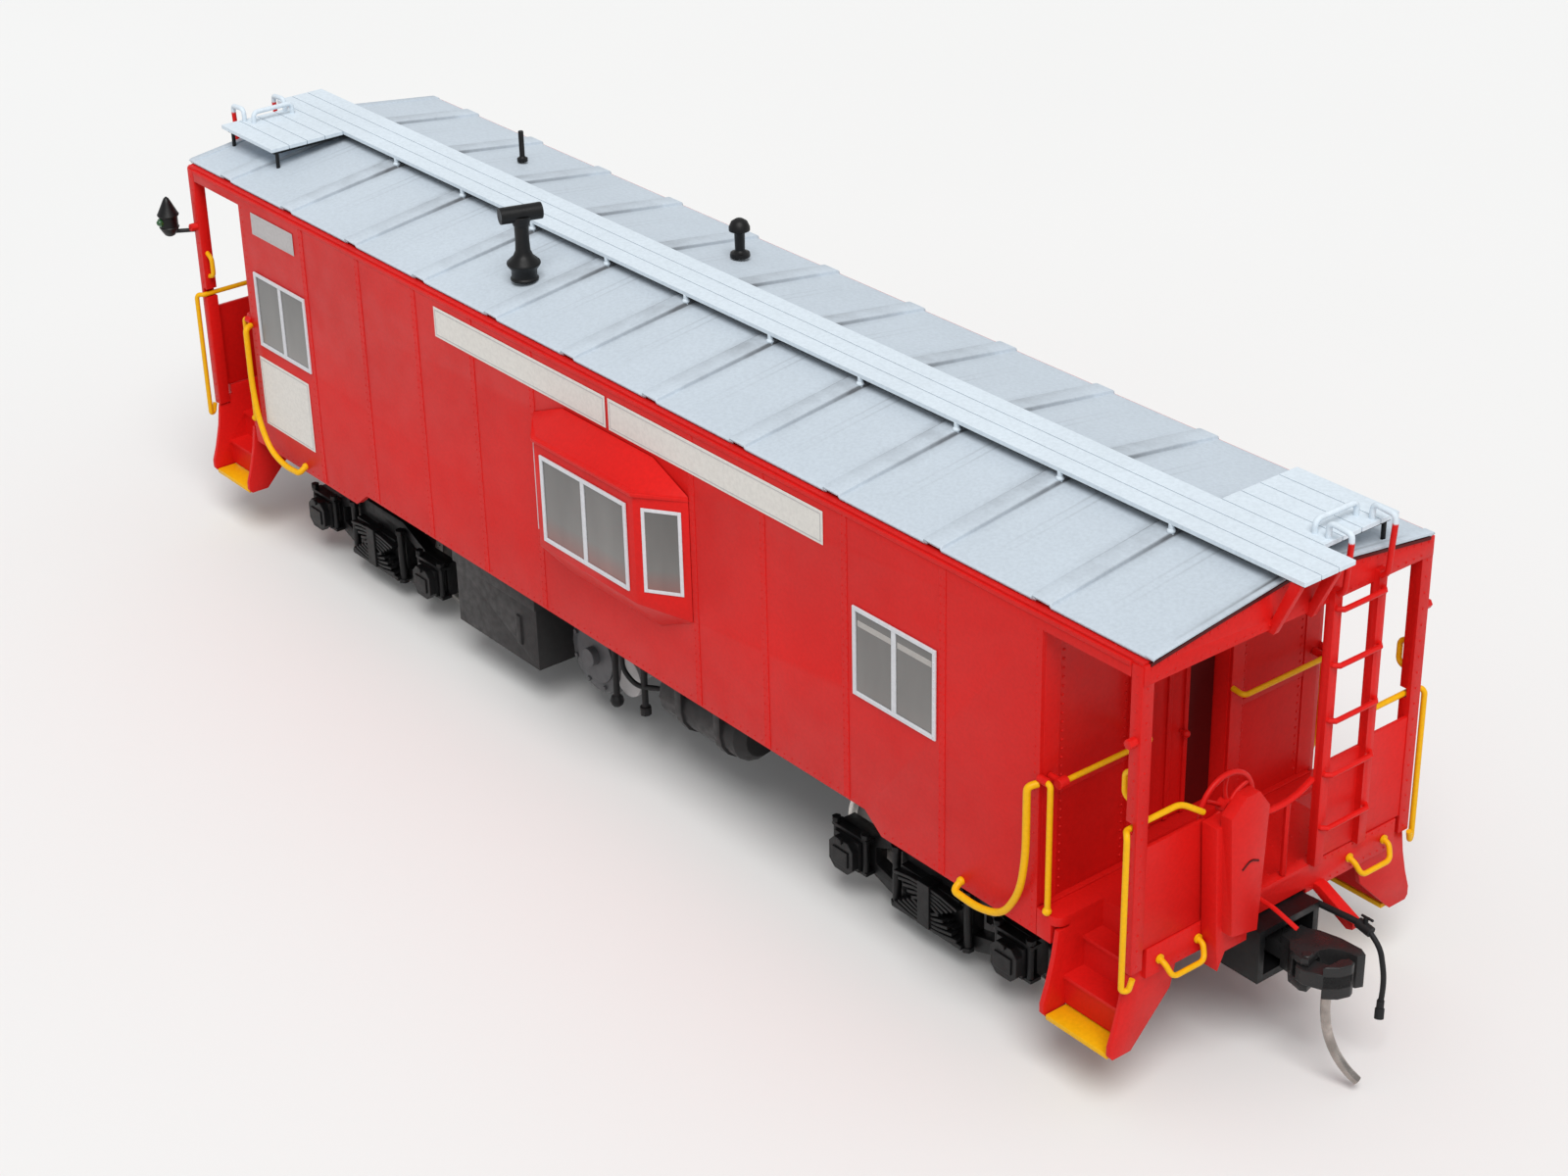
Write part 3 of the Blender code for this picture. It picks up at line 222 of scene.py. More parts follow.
def axes(tree):
    """The X, Y and Z of a place in the model's own space, in metres."""
    place = add_node(tree, "TexCoord")
    split = add_node(tree, "SeparateXYZ")
    tree.links.new(place.outputs["Object"], split.inputs["Vector"])
    return split.outputs


def paint(name, colour, roughness=0.4, shift=0.06, grain=0.35):
    """Sprayed model paint: a cloudy shade, dust speckle, uneven gloss and a fine orange peel."""
    made, tree, shader = new_material(name, colour, roughness, specular=0.16)
    shades = [(0.3, darker(colour, 1 - shift)), (0.7, darker(colour, 1 + shift))]
    clouds = ramp(tree, noise(tree, 16, 4), shades)
    speckle = ramp(tree, noise(tree, 0.35, 2), [(0.3, grey(0.94)), (0.65, grey(1.03))])
    mixed = mix(tree, 1.0, clouds, speckle, "MULTIPLY")
    texture(tree, shader, mixed, noise(tree, 3.0, 5), roughness - 0.05, roughness + 0.08)
    bump(tree, shader, noise(tree, grain, 2), 0.012, 0.35)
    return made


DUST = 0.35


def moulded(name, colour, roughness=0.42):
    """Black or grey moulded plastic with a fine matt grain and dry-brushed dust."""
    made, tree, shader = new_material(name, colour, roughness, specular=0.3)
    dusty = tuple(channel * 1.6 + 0.003 for channel in colour)
    stops = [(0.35, darker(colour, 0.75)), (0.55, colour), (0.8, dusty)]
    mixed = mix(tree, DUST, colour, ramp(tree, noise(tree, 2.2, 6), stops))
    texture(tree, shader, mixed, noise(tree, 0.9, 4), roughness - 0.1, roughness + 0.12)
    bump(tree, shader, noise(tree, 0.22, 3), 0.02, 0.5)
    return made


def metal(name, colour, roughness, stretch=(1, 1, 1), tint=(0.5, 0.45, 0.4)):
    """Bare or blackened metal with drawn lines along one direction."""
    made, tree, shader = new_material(name, colour, roughness, metallic=1.0)
    lines = noise(tree, 0.25, 4, stretch)
    stops = [(0.35, darker(colour, 0.7)), (0.6, colour), (0.75, tint)]
    shade = ramp(tree, noise(tree, 1.6, 4), stops)
    texture(tree, shader, shade, lines, roughness - 0.08, roughness + 0.14)
    bump(tree, shader, lines, 0.006, 0.4)
    return made


FIRST_RIB, RIB_PITCH, RIB_HALF = -68.4, 13.25, 1.1
ROOF_SIDE = 16.6
# Grey that the roof's marks darken towards: painted shade at the rib edges, a dark wash and faint seam
# lines.
GRIME_AND_SHADE = (0.16, 0.17, 0.185)


def calculate(tree, operation, first, second=0.0):
    """One step of arithmetic; either side may be a number or a socket."""
    made = add_node(tree, "Math")
    made.operation = operation
    for socket, value in zip(made.inputs, (first, second)):
        if hasattr(value, "is_output"):
            tree.links.new(value, socket)
        else:
            socket.default_value = value
    return made.outputs[0]


def narrow_line(middle, half, level):
    """Colour stops of one soft line in an otherwise black ramp."""
    return [(middle - half, grey(0)), (middle, grey(level)), (middle + half, grey(0))]


def roof_material():
    """Roof paint with a line of painted shade at both edges of each rib and a dark wash over and beside it,
    heaviest beside the running board.
    """
    made = paint("roof_paint", (0.53, 0.595, 0.66), 0.5, 0.03, 0.3)
    tree = made.node_tree
    shader = tree.nodes["Principled BSDF"]
    colour = shader.inputs["Base Color"].links[0].from_socket
    place = axes(tree)
    along = calculate(tree, "SUBTRACT", place["X"], FIRST_RIB * MM)
    half_pitch = RIB_PITCH / 2 * MM
    from_rib = calculate(tree, "DIVIDE", calculate(tree, "PINGPONG", along, half_pitch), half_pitch)
    edge = RIB_HALF / (RIB_PITCH / 2)
    # A thin line of painted shade at each rib's edge, where the rib's foot lies in shade.
    rim = [(0, grey(0)), (edge - 0.025, grey(0)), (edge + 0.005, grey(1)), (edge + 0.05, grey(0))]
    rim.append((1, grey(0)))
    wash = [(0, grey(0.3)), (edge, grey(0.3)), (edge + 0.2, grey(0)), (1, grey(0))]
    seams = [(0, grey(0)), *narrow_line(0.355, 0.015, 0.3), *narrow_line(0.425, 0.015, 0.3), (1, grey(0))]
    after_rib = calculate(tree, "FRACT", calculate(tree, "DIVIDE", along, RIB_PITCH * MM))
    rib_edge_shade = calculate(tree, "MULTIPLY", ramp(tree, from_rib, rim), 0.85)
    lines = calculate(tree, "MULTIPLY", ramp(tree, after_rib, seams), 0.9)
    patchy = numbers(tree, noise(tree, 2.5, 4), 0.2, 1.9)
    washes = calculate(tree, "MULTIPLY", ramp(tree, from_rib, wash), patchy)
    marks = calculate(tree, "ADD", calculate(tree, "ADD", rib_edge_shade, lines), washes)
    out = calculate(tree, "DIVIDE", calculate(tree, "ABSOLUTE", place["Y"]), ROOF_SIDE * MM)
    fade = ramp(tree, out, [(0.18, grey(1)), (0.42, grey(0.5)), (0.8, grey(0.2)), (0.85, grey(0))])
    marks = calculate(tree, "MULTIPLY", marks, fade)
    tree.links.new(mix(tree, marks, colour, GRIME_AND_SHADE), shader.inputs["Base Color"])
    return made


def floor_material():
    """Pale matt paper."""
    made, tree, shader = new_material("floor_paper", grey(0.80), 0.8, specular=0.1)
    shade = ramp(tree, noise(tree, 120, 2), [(0.3, (0.795, 0.795, 0.79)), (0.7, (0.805, 0.805, 0.80))])
    tree.links.new(shade, shader.inputs["Base Color"])
    bump(tree, shader, noise(tree, 1.5, 3), 0.01, 0.15)
    return made


GLASS_LIT_BELOW, GLASS_SHADED_ABOVE = 25, 35


def window_material(name, low):
    """Smoked clear plastic over a dim inside, with painted light low down and painted shade high up."""
    made, tree, shader = new_material(name, (0.17, 0.165, 0.16), 0.14, coat=0.4)
    height = add_node(tree, "MapRange", From_Min=GLASS_LIT_BELOW * MM, From_Max=GLASS_SHADED_ABOVE * MM)
    tree.links.new(axes(tree)["Z"], height.inputs["Value"])
    # The given low colour is painted light on the lower glass; the higher stops are painted shade towards
    # the top.
    stops = [(0.0, low), (0.35, (0.15, 0.147, 0.14)), (1.0, (0.105, 0.102, 0.098))]
    shade = ramp(tree, height.outputs["Result"], stops)
    cloud = ramp(tree, noise(tree, 5.0, 3, (1, 1, 0.25)), [(0.3, grey(0.82)), (0.7, grey(1.15))])
    mixed = mix(tree, 1.0, shade, cloud, "MULTIPLY")
    texture(tree, shader, mixed, noise(tree, 1.2, 2), 0.1, 0.17)
    bump(tree, shader, noise(tree, 4.0, 1), 0.02, 0.15)
    return made


def lens_material(name, colour):
    """A clear coloured lens."""
    made, tree, shader = new_material(name, colour, 0.12, coat=0.8)
    shade = ramp(tree, noise(tree, 0.8, 2), [(0.3, darker(colour, 0.7)), (0.7, colour)])
    tree.links.new(shade, shader.inputs["Base Color"])
    return made


RED = paint("red_paint", (0.63, 0.0095, 0.0075))
# A near-black red used only as painted shade in gaps and a groove.
SHADE_RED = paint("painted_shade_red", (0.09, 0.004, 0.004), 0.5)
ROOF = roof_material()
WALK = paint("walk_paint", (0.65, 0.725, 0.79), 0.6, 0.03, 0.25)
YELLOW = paint("yellow_paint", (0.79, 0.415, 0.004), 0.38, 0.04)
WHITE = paint("white_lettering_board", (0.70, 0.68, 0.64), 0.5, 0.02, 0.3)
GREY_BOARD = paint("grey_number_board", (0.48, 0.46, 0.46), 0.5, 0.02, 0.3)
SILVER = paint("silver_paint", (0.62, 0.63, 0.66), 0.36, 0.05, 0.3)
BLACK = moulded("black_plastic", (0.0045, 0.0045, 0.005))
DARK_GREY = moulded("dark_grey_plastic", (0.017, 0.016, 0.0165), 0.45)
LIGHT_GREY = moulded("light_grey_plastic", (0.085, 0.085, 0.09), 0.45)
PALE_GREY = moulded("pale_grey_plastic", (0.42, 0.41, 0.41), 0.45)
HOSE = moulded("hose_rubber", (0.010, 0.010, 0.011), 0.6)
# The second colour of each window material is the painted light low on its panes.
GLASS = window_material("window_plastic", (0.20, 0.185, 0.175))
BAY_GLASS = window_material("bay_window_plastic", (0.26, 0.075, 0.06))
BLIND = paint("blind_behind_window", (0.42, 0.40, 0.38), 0.5, 0.02)
TREAD_STEEL = metal("tread_steel", (0.78, 0.75, 0.71), 0.3, (1, 0.1, 1), (0.7, 0.66, 0.62))
WHEEL_BLACK = metal("blackened_wheel", (0.16, 0.15, 0.145), 0.38, tint=(0.24, 0.22, 0.21))
PIN_STEEL = metal("trip_pin_steel", (0.42, 0.38, 0.35), 0.2, (1, 1, 0.1), (0.6, 0.54, 0.5))
COUPLER_METAL = moulded("coupler_casting", (0.019, 0.0185, 0.019), 0.32)
WEIGHT_STEEL = metal("weight_steel", (0.4, 0.4, 0.41), 0.4)
GREEN_LENS = lens_material("green_lens", (0.01, 0.09, 0.02))


# --- mesh helpers


def add_box(bm, low, high, turn=None):
    """A box between two corners, then turned by a matrix if there is one."""
    low, high = Vector(low), Vector(high)
    size = [abs(b - a) for a, b in zip(low, high)]
    placed = Matrix.Translation((low + high) / 2) @ Matrix.Diagonal((*size, 1))
    bmesh.ops.create_cube(bm, size=1.0, matrix=turn @ placed if turn else placed)


def add_rod(bm, start, end, radius, sides=16, end_radius=None):
    """A closed cylinder or cone between two points."""
    start, end = Vector(start), Vector(end)
    along = end - start
    placed = Matrix.Translation((start + end) / 2) @ along.to_track_quat("Z", "X").to_matrix().to_4x4()
    far = radius if end_radius is None else end_radius
    sizes = {"radius1": radius, "radius2": far, "depth": along.length}
    bmesh.ops.create_cone(bm, cap_ends=True, segments=sides, matrix=placed, **sizes)


def add_ball(bm, centre, radius, flat=1.0):
    """A small ball, or a flattened one."""
    placed = Matrix.Translation(Vector(centre)) @ Matrix.Diagonal((1, 1, flat, 1))
    bmesh.ops.create_uvsphere(bm, u_segments=12, v_segments=6, radius=radius, matrix=placed)


PLANES = {
    "xy": Matrix.Identity(4),
    "xz": Matrix(((1, 0, 0, 0), (0, 0, 1, 0), (0, 1, 0, 0), (0, 0, 0, 1))),
    "yz": Matrix(((0, 0, 1, 0), (1, 0, 0, 0), (0, 1, 0, 0), (0, 0, 0, 1))),
}


def add_plate(bm, outline, plane, low, high):
    """A flat outline with a thickness, between two places along the plane's normal."""
    matrix = PLANES[plane]
    face = bm.faces.new([bm.verts.new(matrix @ Vector((a, b, low))) for a, b in outline])
    made = bmesh.ops.extrude_face_region(bm, geom=[face])
    verts = [item for item in made["geom"] if isinstance(item, bmesh.types.BMVert)]
    bmesh.ops.translate(bm, vec=matrix.to_3x3() @ Vector((0, 0, high - low)), verts=verts)


def circle(sides, turn=0.0):
    """The cosine and sine of angles evenly spaced round a circle, starting a part of a step on."""
    angles = [math.tau * (step + turn) / sides for step in range(sides)]
    return [(math.cos(angle), math.sin(angle)) for angle in angles]


def add_skin(bm, rings):
    """Joins each ring of vertices to the next, and closes the two ends."""
    for first, second in zip(rings, rings[1:]):
        for step in range(len(first)):
            after = (step + 1) % len(first)
            bm.faces.new((first[step], first[after], second[after], second[step]))
    bm.faces.new(rings[0][::-1])
    bm.faces.new(rings[-1])


def add_lathe(bm, profile, placed, sides=40):
    """A solid turned about Z from (radius, height) points, placed by a matrix; returns its bands."""
    rings = []
    for radius, height in profile:
        if radius < 1e-6:
            rings.append([bm.verts.new(placed @ Vector((0, 0, height)))])
            continue
        points = [Vector((radius * c, radius * s, height)) for c, s in circle(sides)]
        rings.append([bm.verts.new(placed @ point) for point in points])
    faces = []
    for first, second in zip(rings, rings[1:]):
        band = []
        for step in range(sides):
            after = (step + 1) % sides
            corners = [first[step % len(first)], first[after % len(first)]]
            corners += [second[after % len(second)], second[step % len(second)]]
            unique = list(dict.fromkeys(corners))
            if len(unique) > 2:
                band.append(bm.faces.new(unique))
        faces.append(band)
    return faces


def on_side(side, points):
    """These points with their Y on one side of the model."""
    return [(x, side * y, z) for x, y, z in points]


def rounded(points, radius, steps=6):
    """These points with each inner corner rounded."""
    points = [Vector(point) for point in points]
    bent = [points[0]]
    for before, corner, after in zip(points, points[1:], points[2:]):
        reach = min(radius, (before - corner).length * 0.48, (after - corner).length * 0.48)
        start = corner + (before - corner).normalized() * reach
        end = corner + (after - corner).normalized() * reach
        for step in range(steps + 1):
            t = step / steps
            bent.append(start * (1 - t) ** 2 + corner * 2 * t * (1 - t) + end * t**2)
    return bent + [points[-1]]


def add_tube(bm, points, radius, sides=12):
    """A round tube along points, closed at both ends."""
    points = [Vector(point) for point in points]
    along = [(b - a).normalized() for a, b in zip(points, points[1:])]
    along = [along[0]] + [(a + b).normalized() for a, b in zip(along, along[1:])] + [along[-1]]
    across = along[0].orthogonal().normalized()
    rings = []
    for place, heading in zip(points, along):
        across = (across - heading * across.dot(heading)).normalized()
        other = heading.cross(across)
        spots = [place + (across * c + other * s) * radius for c, s in circle(sides)]
        rings.append([bm.verts.new(spot) for spot in spots])
    add_skin(bm, rings)


def add_ring(bm, low_x, high_x, low_z, high_z, width, near, far, turn=None):
    """A rectangular frame in the XZ plane, made of four bars, between two depths in Y."""
    bars = [
        ((low_x, low_z), (low_x + width, high_z)),
        ((high_x - width, low_z), (high_x, high_z)),
        ((low_x + width, low_z), (high_x - width, low_z + width)),
        ((low_x + width, high_z - width), (high_x - width, high_z)),
    ]
    for (x0, z0), (x1, z1) in bars:
        add_box(bm, (x0, near, z0), (x1, far, z1), turn)


def add_bevel(piece, width, degrees, segments=2):
    """Rounds a piece's sharp edges."""
    edge = piece.modifiers.new("edges", "BEVEL")
    edge.width = width * MM
    edge.segments = segments
    edge.limit_method = "ANGLE"
    edge.angle_limit = math.radians(degrees)
    edge.use_clamp_overlap = True
    return edge


SMOOTH_ANGLE = 32
OWN_BODY = "caboose"


def finish_mesh(
    name, bm, materials, replaced=(), bevel=0.0, turned=False,
    angle=SMOOTH_ANGLE, segments=2, body=OWN_BODY,
):
    """Turns a shape into a piece: in metres, softened at its edges, shaded smooth and riding on its body."""
    bmesh.ops.recalc_face_normals(bm, faces=bm.faces)
    place = (HALF_TURN if turned else Matrix.Identity(4)) @ Matrix.Scale(MM, 4)
    bmesh.ops.transform(bm, matrix=place, verts=bm.verts)
    data = bpy.data.meshes.new(name)
    bm.to_mesh(data)
    bm.free()
    for made in materials if isinstance(materials, (list, tuple)) else [materials]:
        data.materials.append(made)
    data.shade_smooth()
    data.set_sharp_from_angle(angle=math.radians(angle))
    piece = bpy.data.objects.new(name, data)
    bpy.context.scene.collection.objects.link(piece)
    if bevel:
        add_bevel(piece, bevel, angle, segments).harden_normals = True
    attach(piece, body)
    if replaced:
        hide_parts(*replaced)
    return piece


RIVET_SIDES = 6


def add_rivets(bm, places, normal, radius=0.13, high=0.07):
    """Low domed rivet heads, each on a surface whose outward normal is given."""
    turn = Vector(normal).to_track_quat("Z", "X").to_matrix()
    profile = ((radius, -0.03), (radius, high * 0.35), (radius * 0.62, high))
    head = [[turn @ Vector((size * c, size * s, z)) for c, s in circle(RIVET_SIDES)] for size, z in profile]
    for place in places:
        add_skin(bm, [[bm.verts.new(Vector(place) + point) for point in ring] for ring in head])


def row(start, end, pitch):
    """Evenly spaced places from start to end, about this far apart."""
    start, end = Vector(start), Vector(end)
    count = max(1, round((end - start).length / pitch))
    return [start.lerp(end, step / count) for step in range(count + 1)]


# --- CAD nodes that stay


def soft_shading_group():
    """Geometry nodes that drop a mesh's stored normals and shade it smooth, except across sharp edges."""
    group = bpy.data.node_groups.new("soft_shading", "GeometryNodeTree")
    group.interface.new_socket("Geometry", in_out="INPUT", socket_type="NodeSocketGeometry")
    group.interface.new_socket("Geometry", in_out="OUTPUT", socket_type="NodeSocketGeometry")
    nodes, links = group.nodes, group.links
    source, target = nodes.new("NodeGroupInput"), nodes.new("NodeGroupOutput")
    normals = nodes.new("GeometryNodeRemoveAttribute")
    normals.inputs["Name"].default_value = "custom_normal"
    faces = nodes.new("GeometryNodeSetShadeSmooth")
    edges = nodes.new("GeometryNodeSetShadeSmooth")
    edges.domain = "EDGE"
    edges.inputs["Shade Smooth"].default_value = False
    angle = nodes.new("GeometryNodeInputMeshEdgeAngle")
    compare = nodes.new("FunctionNodeCompare")
    compare.inputs["B"].default_value = math.radians(SMOOTH_ANGLE)
    links.new(source.outputs[0], normals.inputs["Geometry"])
    links.new(normals.outputs["Geometry"], faces.inputs["Geometry"])
    links.new(faces.outputs["Geometry"], edges.inputs["Geometry"])
    links.new(angle.outputs["Unsigned Angle"], compare.inputs["A"])
    links.new(compare.outputs["Result"], edges.inputs["Selection"])
    links.new(edges.outputs["Geometry"], target.inputs[0])
    return group


SOFT_SHADING = soft_shading_group()


def keep_node(name, material, bevel=0.0):
    """A CAD node that stays, with its material, softened edges and smooth shading."""
    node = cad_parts[name]
    for slot in node.material_slots:
        slot.material = material
    weld = node.modifiers.new("weld", "WELD")
    weld.merge_threshold = 1e-6
    if bevel:
        flat = node.modifiers.new("flat", "DECIMATE")
        flat.decimate_type = "DISSOLVE"
        flat.angle_limit = math.radians(0.5)
        add_bevel(node, bevel, 35)
    shading = node.modifiers.new("shading", "NODES")
    shading.node_group = SOFT_SHADING


def keep_nodes():
    """The CAD nodes whose own shape is seen."""
    keep_node("body_shell", RED, 0.12)
    keep_node("underframe", BLACK, 0.1)
    keep_node("ballast_weight", WEIGHT_STEEL, 0.1)
    keep_node("fuel_box", DARK_GREY, 0.15)
    keep_node("air_reservoir", DARK_GREY, 0.08)
    keep_node("brake_cylinder", LIGHT_GREY, 0.1)
    for hand, _ in HANDS:
        keep_node(f"bay_{hand}", RED, 0.08)
        keep_node(f"glazing_{hand}", GLASS)
    for word, _ in ENDS:
        keep_node(f"platform_{word}", RED, 0.08)
        keep_node(f"end_frame_{word}", RED, 0.07)
        keep_node(f"brake_stand_{word}", RED, 0.12)
        keep_node(f"truck_frame_{word}", BLACK, 0.1)
        keep_node(f"coupler_{word}", COUPLER_METAL, 0.15)
        for hand, _ in HANDS:
            keep_node(f"step_tread_{word}_{hand}", YELLOW, 0.06)


# --- body sides

SIDE = span("body_shell")[1].y
WALL_END = 65.0
SEAM_X = [-51.5, -40.0, -29.0, -18.5, -7.9, 18.0, 28.5, 40.0, 52.9]
SEAM_TOP = 43.2
RIVET_PITCH = 0.85
DROP_START, DROP_FULL = 42.5, 44.8
SIDE_BOTTOM, DROP_BOTTOM = 14.4, 12.6

BOARDS = {
    "name_board": (-25.0, 37.2, 39.15, 42.45, WHITE, 5.0),
    "number_board": (-62.2, -53.2, 39.55, 42.1, GREY_BOARD, None),
    "herald_panel": (-63.7, -53.0, 16.0, 24.4, WHITE, None),
}


def on_board(place):
    """Whether a place on the side is covered by one of the boards."""
    for low, high, bottom, top, _, _ in BOARDS.values():
        if low < place.x < high and bottom < place.z < top:
            return True
    return False


def side_bottom(x):
    """How low the side reaches: it drops over each truck."""
    share = min(1.0, max(0.0, (abs(x) - DROP_START) / (DROP_FULL - DROP_START)))
    return SIDE_BOTTOM + (DROP_BOTTOM - SIDE_BOTTOM) * share


def make_side_seams(hand, side):
    """The lapped edges of the side's steel sheets, and their rivets."""
    bm = bmesh.new()
    for x in SEAM_X:
        low = side_bottom(x) + 0.15
        add_box(bm, (x - 0.42, side * (SIDE - 0.1), low), (x + 0.42, side * (SIDE + 0.05), SEAM_TOP))
    finish_mesh(f"side_seams_{hand}", bm, RED, bevel=0.03)
    bm = bmesh.new()
    places = []
    face = side * (SIDE + 0.05)
    for x in SEAM_X:
        for shift in (-0.26, 0.26):
            places += row((x + shift, face, side_bottom(x) + 0.5), (x + shift, face, 43.0), RIVET_PITCH)
    for x in (-WALL_END + 0.6, WALL_END - 0.6):
        places += row((x, side * SIDE, 13.3), (x, side * SIDE, 42.0), RIVET_PITCH)
    places += row((-42.0, side * SIDE, 14.9), (42.0, side * SIDE, 14.9), 1.1)
    for end in (-1, 1):
        places += row((end * 45.2, side * SIDE, 13.1), (end * 64.2, side * SIDE, 13.1), 1.1)
    places = [place for place in places if not on_board(place)]
    add_rivets(bm, places, (0, side, 0), 0.085, 0.05)
    finish_mesh(f"side_rivets_{hand}", bm, RED, angle=60)


def make_side_trim(hand, side):
    """The drip rail at the top of the side, and the closed joint between the wall and the roof."""
    bm = bmesh.new()
    add_box(bm, (-75.0, side * (SIDE - 0.2), 43.15), (75.0, side * (SIDE + 0.12), 43.62))
    finish_mesh(f"eave_strip_{hand}", bm, RED, bevel=0.1)
    bm = bmesh.new()
    add_box(bm, (-76.2, side * 15.9, 43.2), (76.2, side * (SIDE - 0.12), 43.83))
    finish_mesh(f"eave_joint_{hand}", bm, RED, bevel=0.05)


def make_boards(hand, side):
    """Blank painted boards with a fine border: they carry no marks."""
    for name, (low, high, bottom, top, material, gap) in BOARDS.items():
        bm = bmesh.new()
        parts = [(low, high)] if gap is None else [(low, gap - 0.25), (gap + 0.25, high)]
        for start, end in parts:
            add_box(bm, (start, side * (SIDE + 0.02), bottom), (end, side * (SIDE + 0.09), top))
        finish_mesh(f"{name}_{hand}", bm, material, bevel=0.03)
        bm = bmesh.new()
        near, far = side * (SIDE + 0.05), side * (SIDE + 0.115)
        for start, end in parts:
            add_ring(bm, start + 0.25, end - 0.25, bottom + 0.25, top - 0.25, 0.09, near, far)
        finish_mesh(f"{name}_border_{hand}", bm, GREY_BOARD)


# --- windows


FRAME_WIDTH, FRAME_PROUD = 0.42, 0.22


def add_sash(bm, low, high, face, side):
    """A thin window frame with its meeting bar, on a face that looks along Y."""
    near, far = face + side * 0.02, face + side * FRAME_PROUD
    middle = (low.x + high.x) / 2
    add_ring(bm, low.x, high.x, low.z, high.z, FRAME_WIDTH, near, far)
    add_box(bm, (middle - 0.28, near, low.z + 0.4), (middle + 0.28, far - side * 0.03, high.z - 0.4))


def add_pane(bm, low, high, face, side):
    """A pane just behind the outer face of its frame."""
    inner, outer = face - side * 0.3, face + side * 0.06
    add_box(bm, (low.x + 0.2, inner, low.z + 0.2), (high.x - 0.2, outer, high.z - 0.2))


def make_window(place, side, blind):
    """A sliding window: frame, meeting bar, screws and pane, and on some a pale strip of blind."""
    name, node = f"window_{place}", f"window_frame_{place}"
    low, high = span(node)
    bm = bmesh.new()
    add_sash(bm, low, high, side * SIDE, side)
    finish_mesh(name, bm, SILVER, (node,), bevel=0.05)
    bm = bmesh.new()
    add_pane(bm, low, high, side * SIDE, side)
    finish_mesh(f"{name}_pane", bm, GLASS, bevel=0.03)
    bm = bmesh.new()
    far = side * (SIDE + FRAME_PROUD)
    places = row((high.x - 0.2, far, low.z + 0.4), (high.x - 0.2, far, high.z - 0.4), 0.8)
    add_rivets(bm, places, (0, side, 0), 0.09, 0.05)
    finish_mesh(f"{name}_screws", bm, SILVER, angle=60)
    if blind:
        middle = (low.x + high.x) / 2
        bm = bmesh.new()
        for start, end in ((low.x + 0.6, middle - 0.4), (middle + 0.4, high.x - 0.6)):
            add_box(bm, (start, side * SIDE, high.z - 1.9), (end, side * (SIDE + 0.075), high.z - 1.3))
        finish_mesh(f"{name}_blind", bm, BLIND, bevel=0.02)


BAY_CENTRE = (span("bay_left")[0].x + span("bay_left")[1].x) / 2
BAY_ROOT_HALF, BAY_FACE_HALF, BAY_DEPTH = 12.7, 8.1, 3.1


def make_bay_windows(hand, side):
    """The frames and panes on the bay's front and on its two angled faces, and the drip lip over them."""
    low, high = span(f"bay_frame_{hand}")
    face = span(f"bay_{hand}")[1 if side > 0 else 0].y
    bm = bmesh.new()
    add_sash(bm, low, high, face, side)
    finish_mesh(f"bay_window_{hand}", bm, SILVER, (f"bay_frame_{hand}",), bevel=0.05)
    slope = math.atan2(BAY_DEPTH, BAY_ROOT_HALF - BAY_FACE_HALF)
    root = abs(face) - BAY_DEPTH
    frames, panes = bmesh.new(), bmesh.new()
    add_pane(panes, low, high, face, side)
    for sign in (-1, 1):
        place = (BAY_CENTRE + sign * (BAY_ROOT_HALF + BAY_FACE_HALF) / 2, side * (root + BAY_DEPTH / 2), 0)
        turn = Matrix.Translation(place) @ Matrix.Rotation(-side * sign * slope, 4, "Z")
        add_ring(frames, -2.0, 2.0, 26.0, 34.9, 0.36, 0.0, side * 0.1, turn)
        add_box(panes, (-1.8, -side * 0.3, 26.2), (1.8, side * 0.05, 34.7), turn)
    finish_mesh(f"bay_side_windows_{hand}", frames, SILVER, bevel=0.04)
    finish_mesh(f"bay_panes_{hand}", panes, BAY_GLASS, bevel=0.03)
    bm = bmesh.new()
    lip = [
        (BAY_CENTRE - BAY_ROOT_HALF - 0.1, side * root),
        (BAY_CENTRE - BAY_FACE_HALF - 0.1, face + side * 0.3),
        (BAY_CENTRE + BAY_FACE_HALF + 0.1, face + side * 0.3),
        (BAY_CENTRE + BAY_ROOT_HALF + 0.1, side * root),
    ]
    add_plate(bm, lip, "xy", 36.0, 36.4)
    finish_mesh(f"bay_drip_lip_{hand}", bm, RED, bevel=0.1)


# --- roof

ROOF_HIGH = span("roof")[1]
EAVE, RIDGE = 44.2, 46.4
RIB_X = [FIRST_RIB + RIB_PITCH * step for step in range(11)]
RIB_HIGH = 0.3


def roof_height(y):
    """The roof's top, with a softened ridge and a slightly rolled eave."""
    slope = (RIDGE - EAVE) / ROOF_SIDE
    away = abs(y)
    soft = 1.2
    top = RIDGE - slope * away if away > soft else RIDGE - slope * (away**2 / (2 * soft) + soft / 2)
    edge = max(0.0, away - (ROOF_SIDE - 0.35)) / 0.35
    return top - 0.12 * edge**2


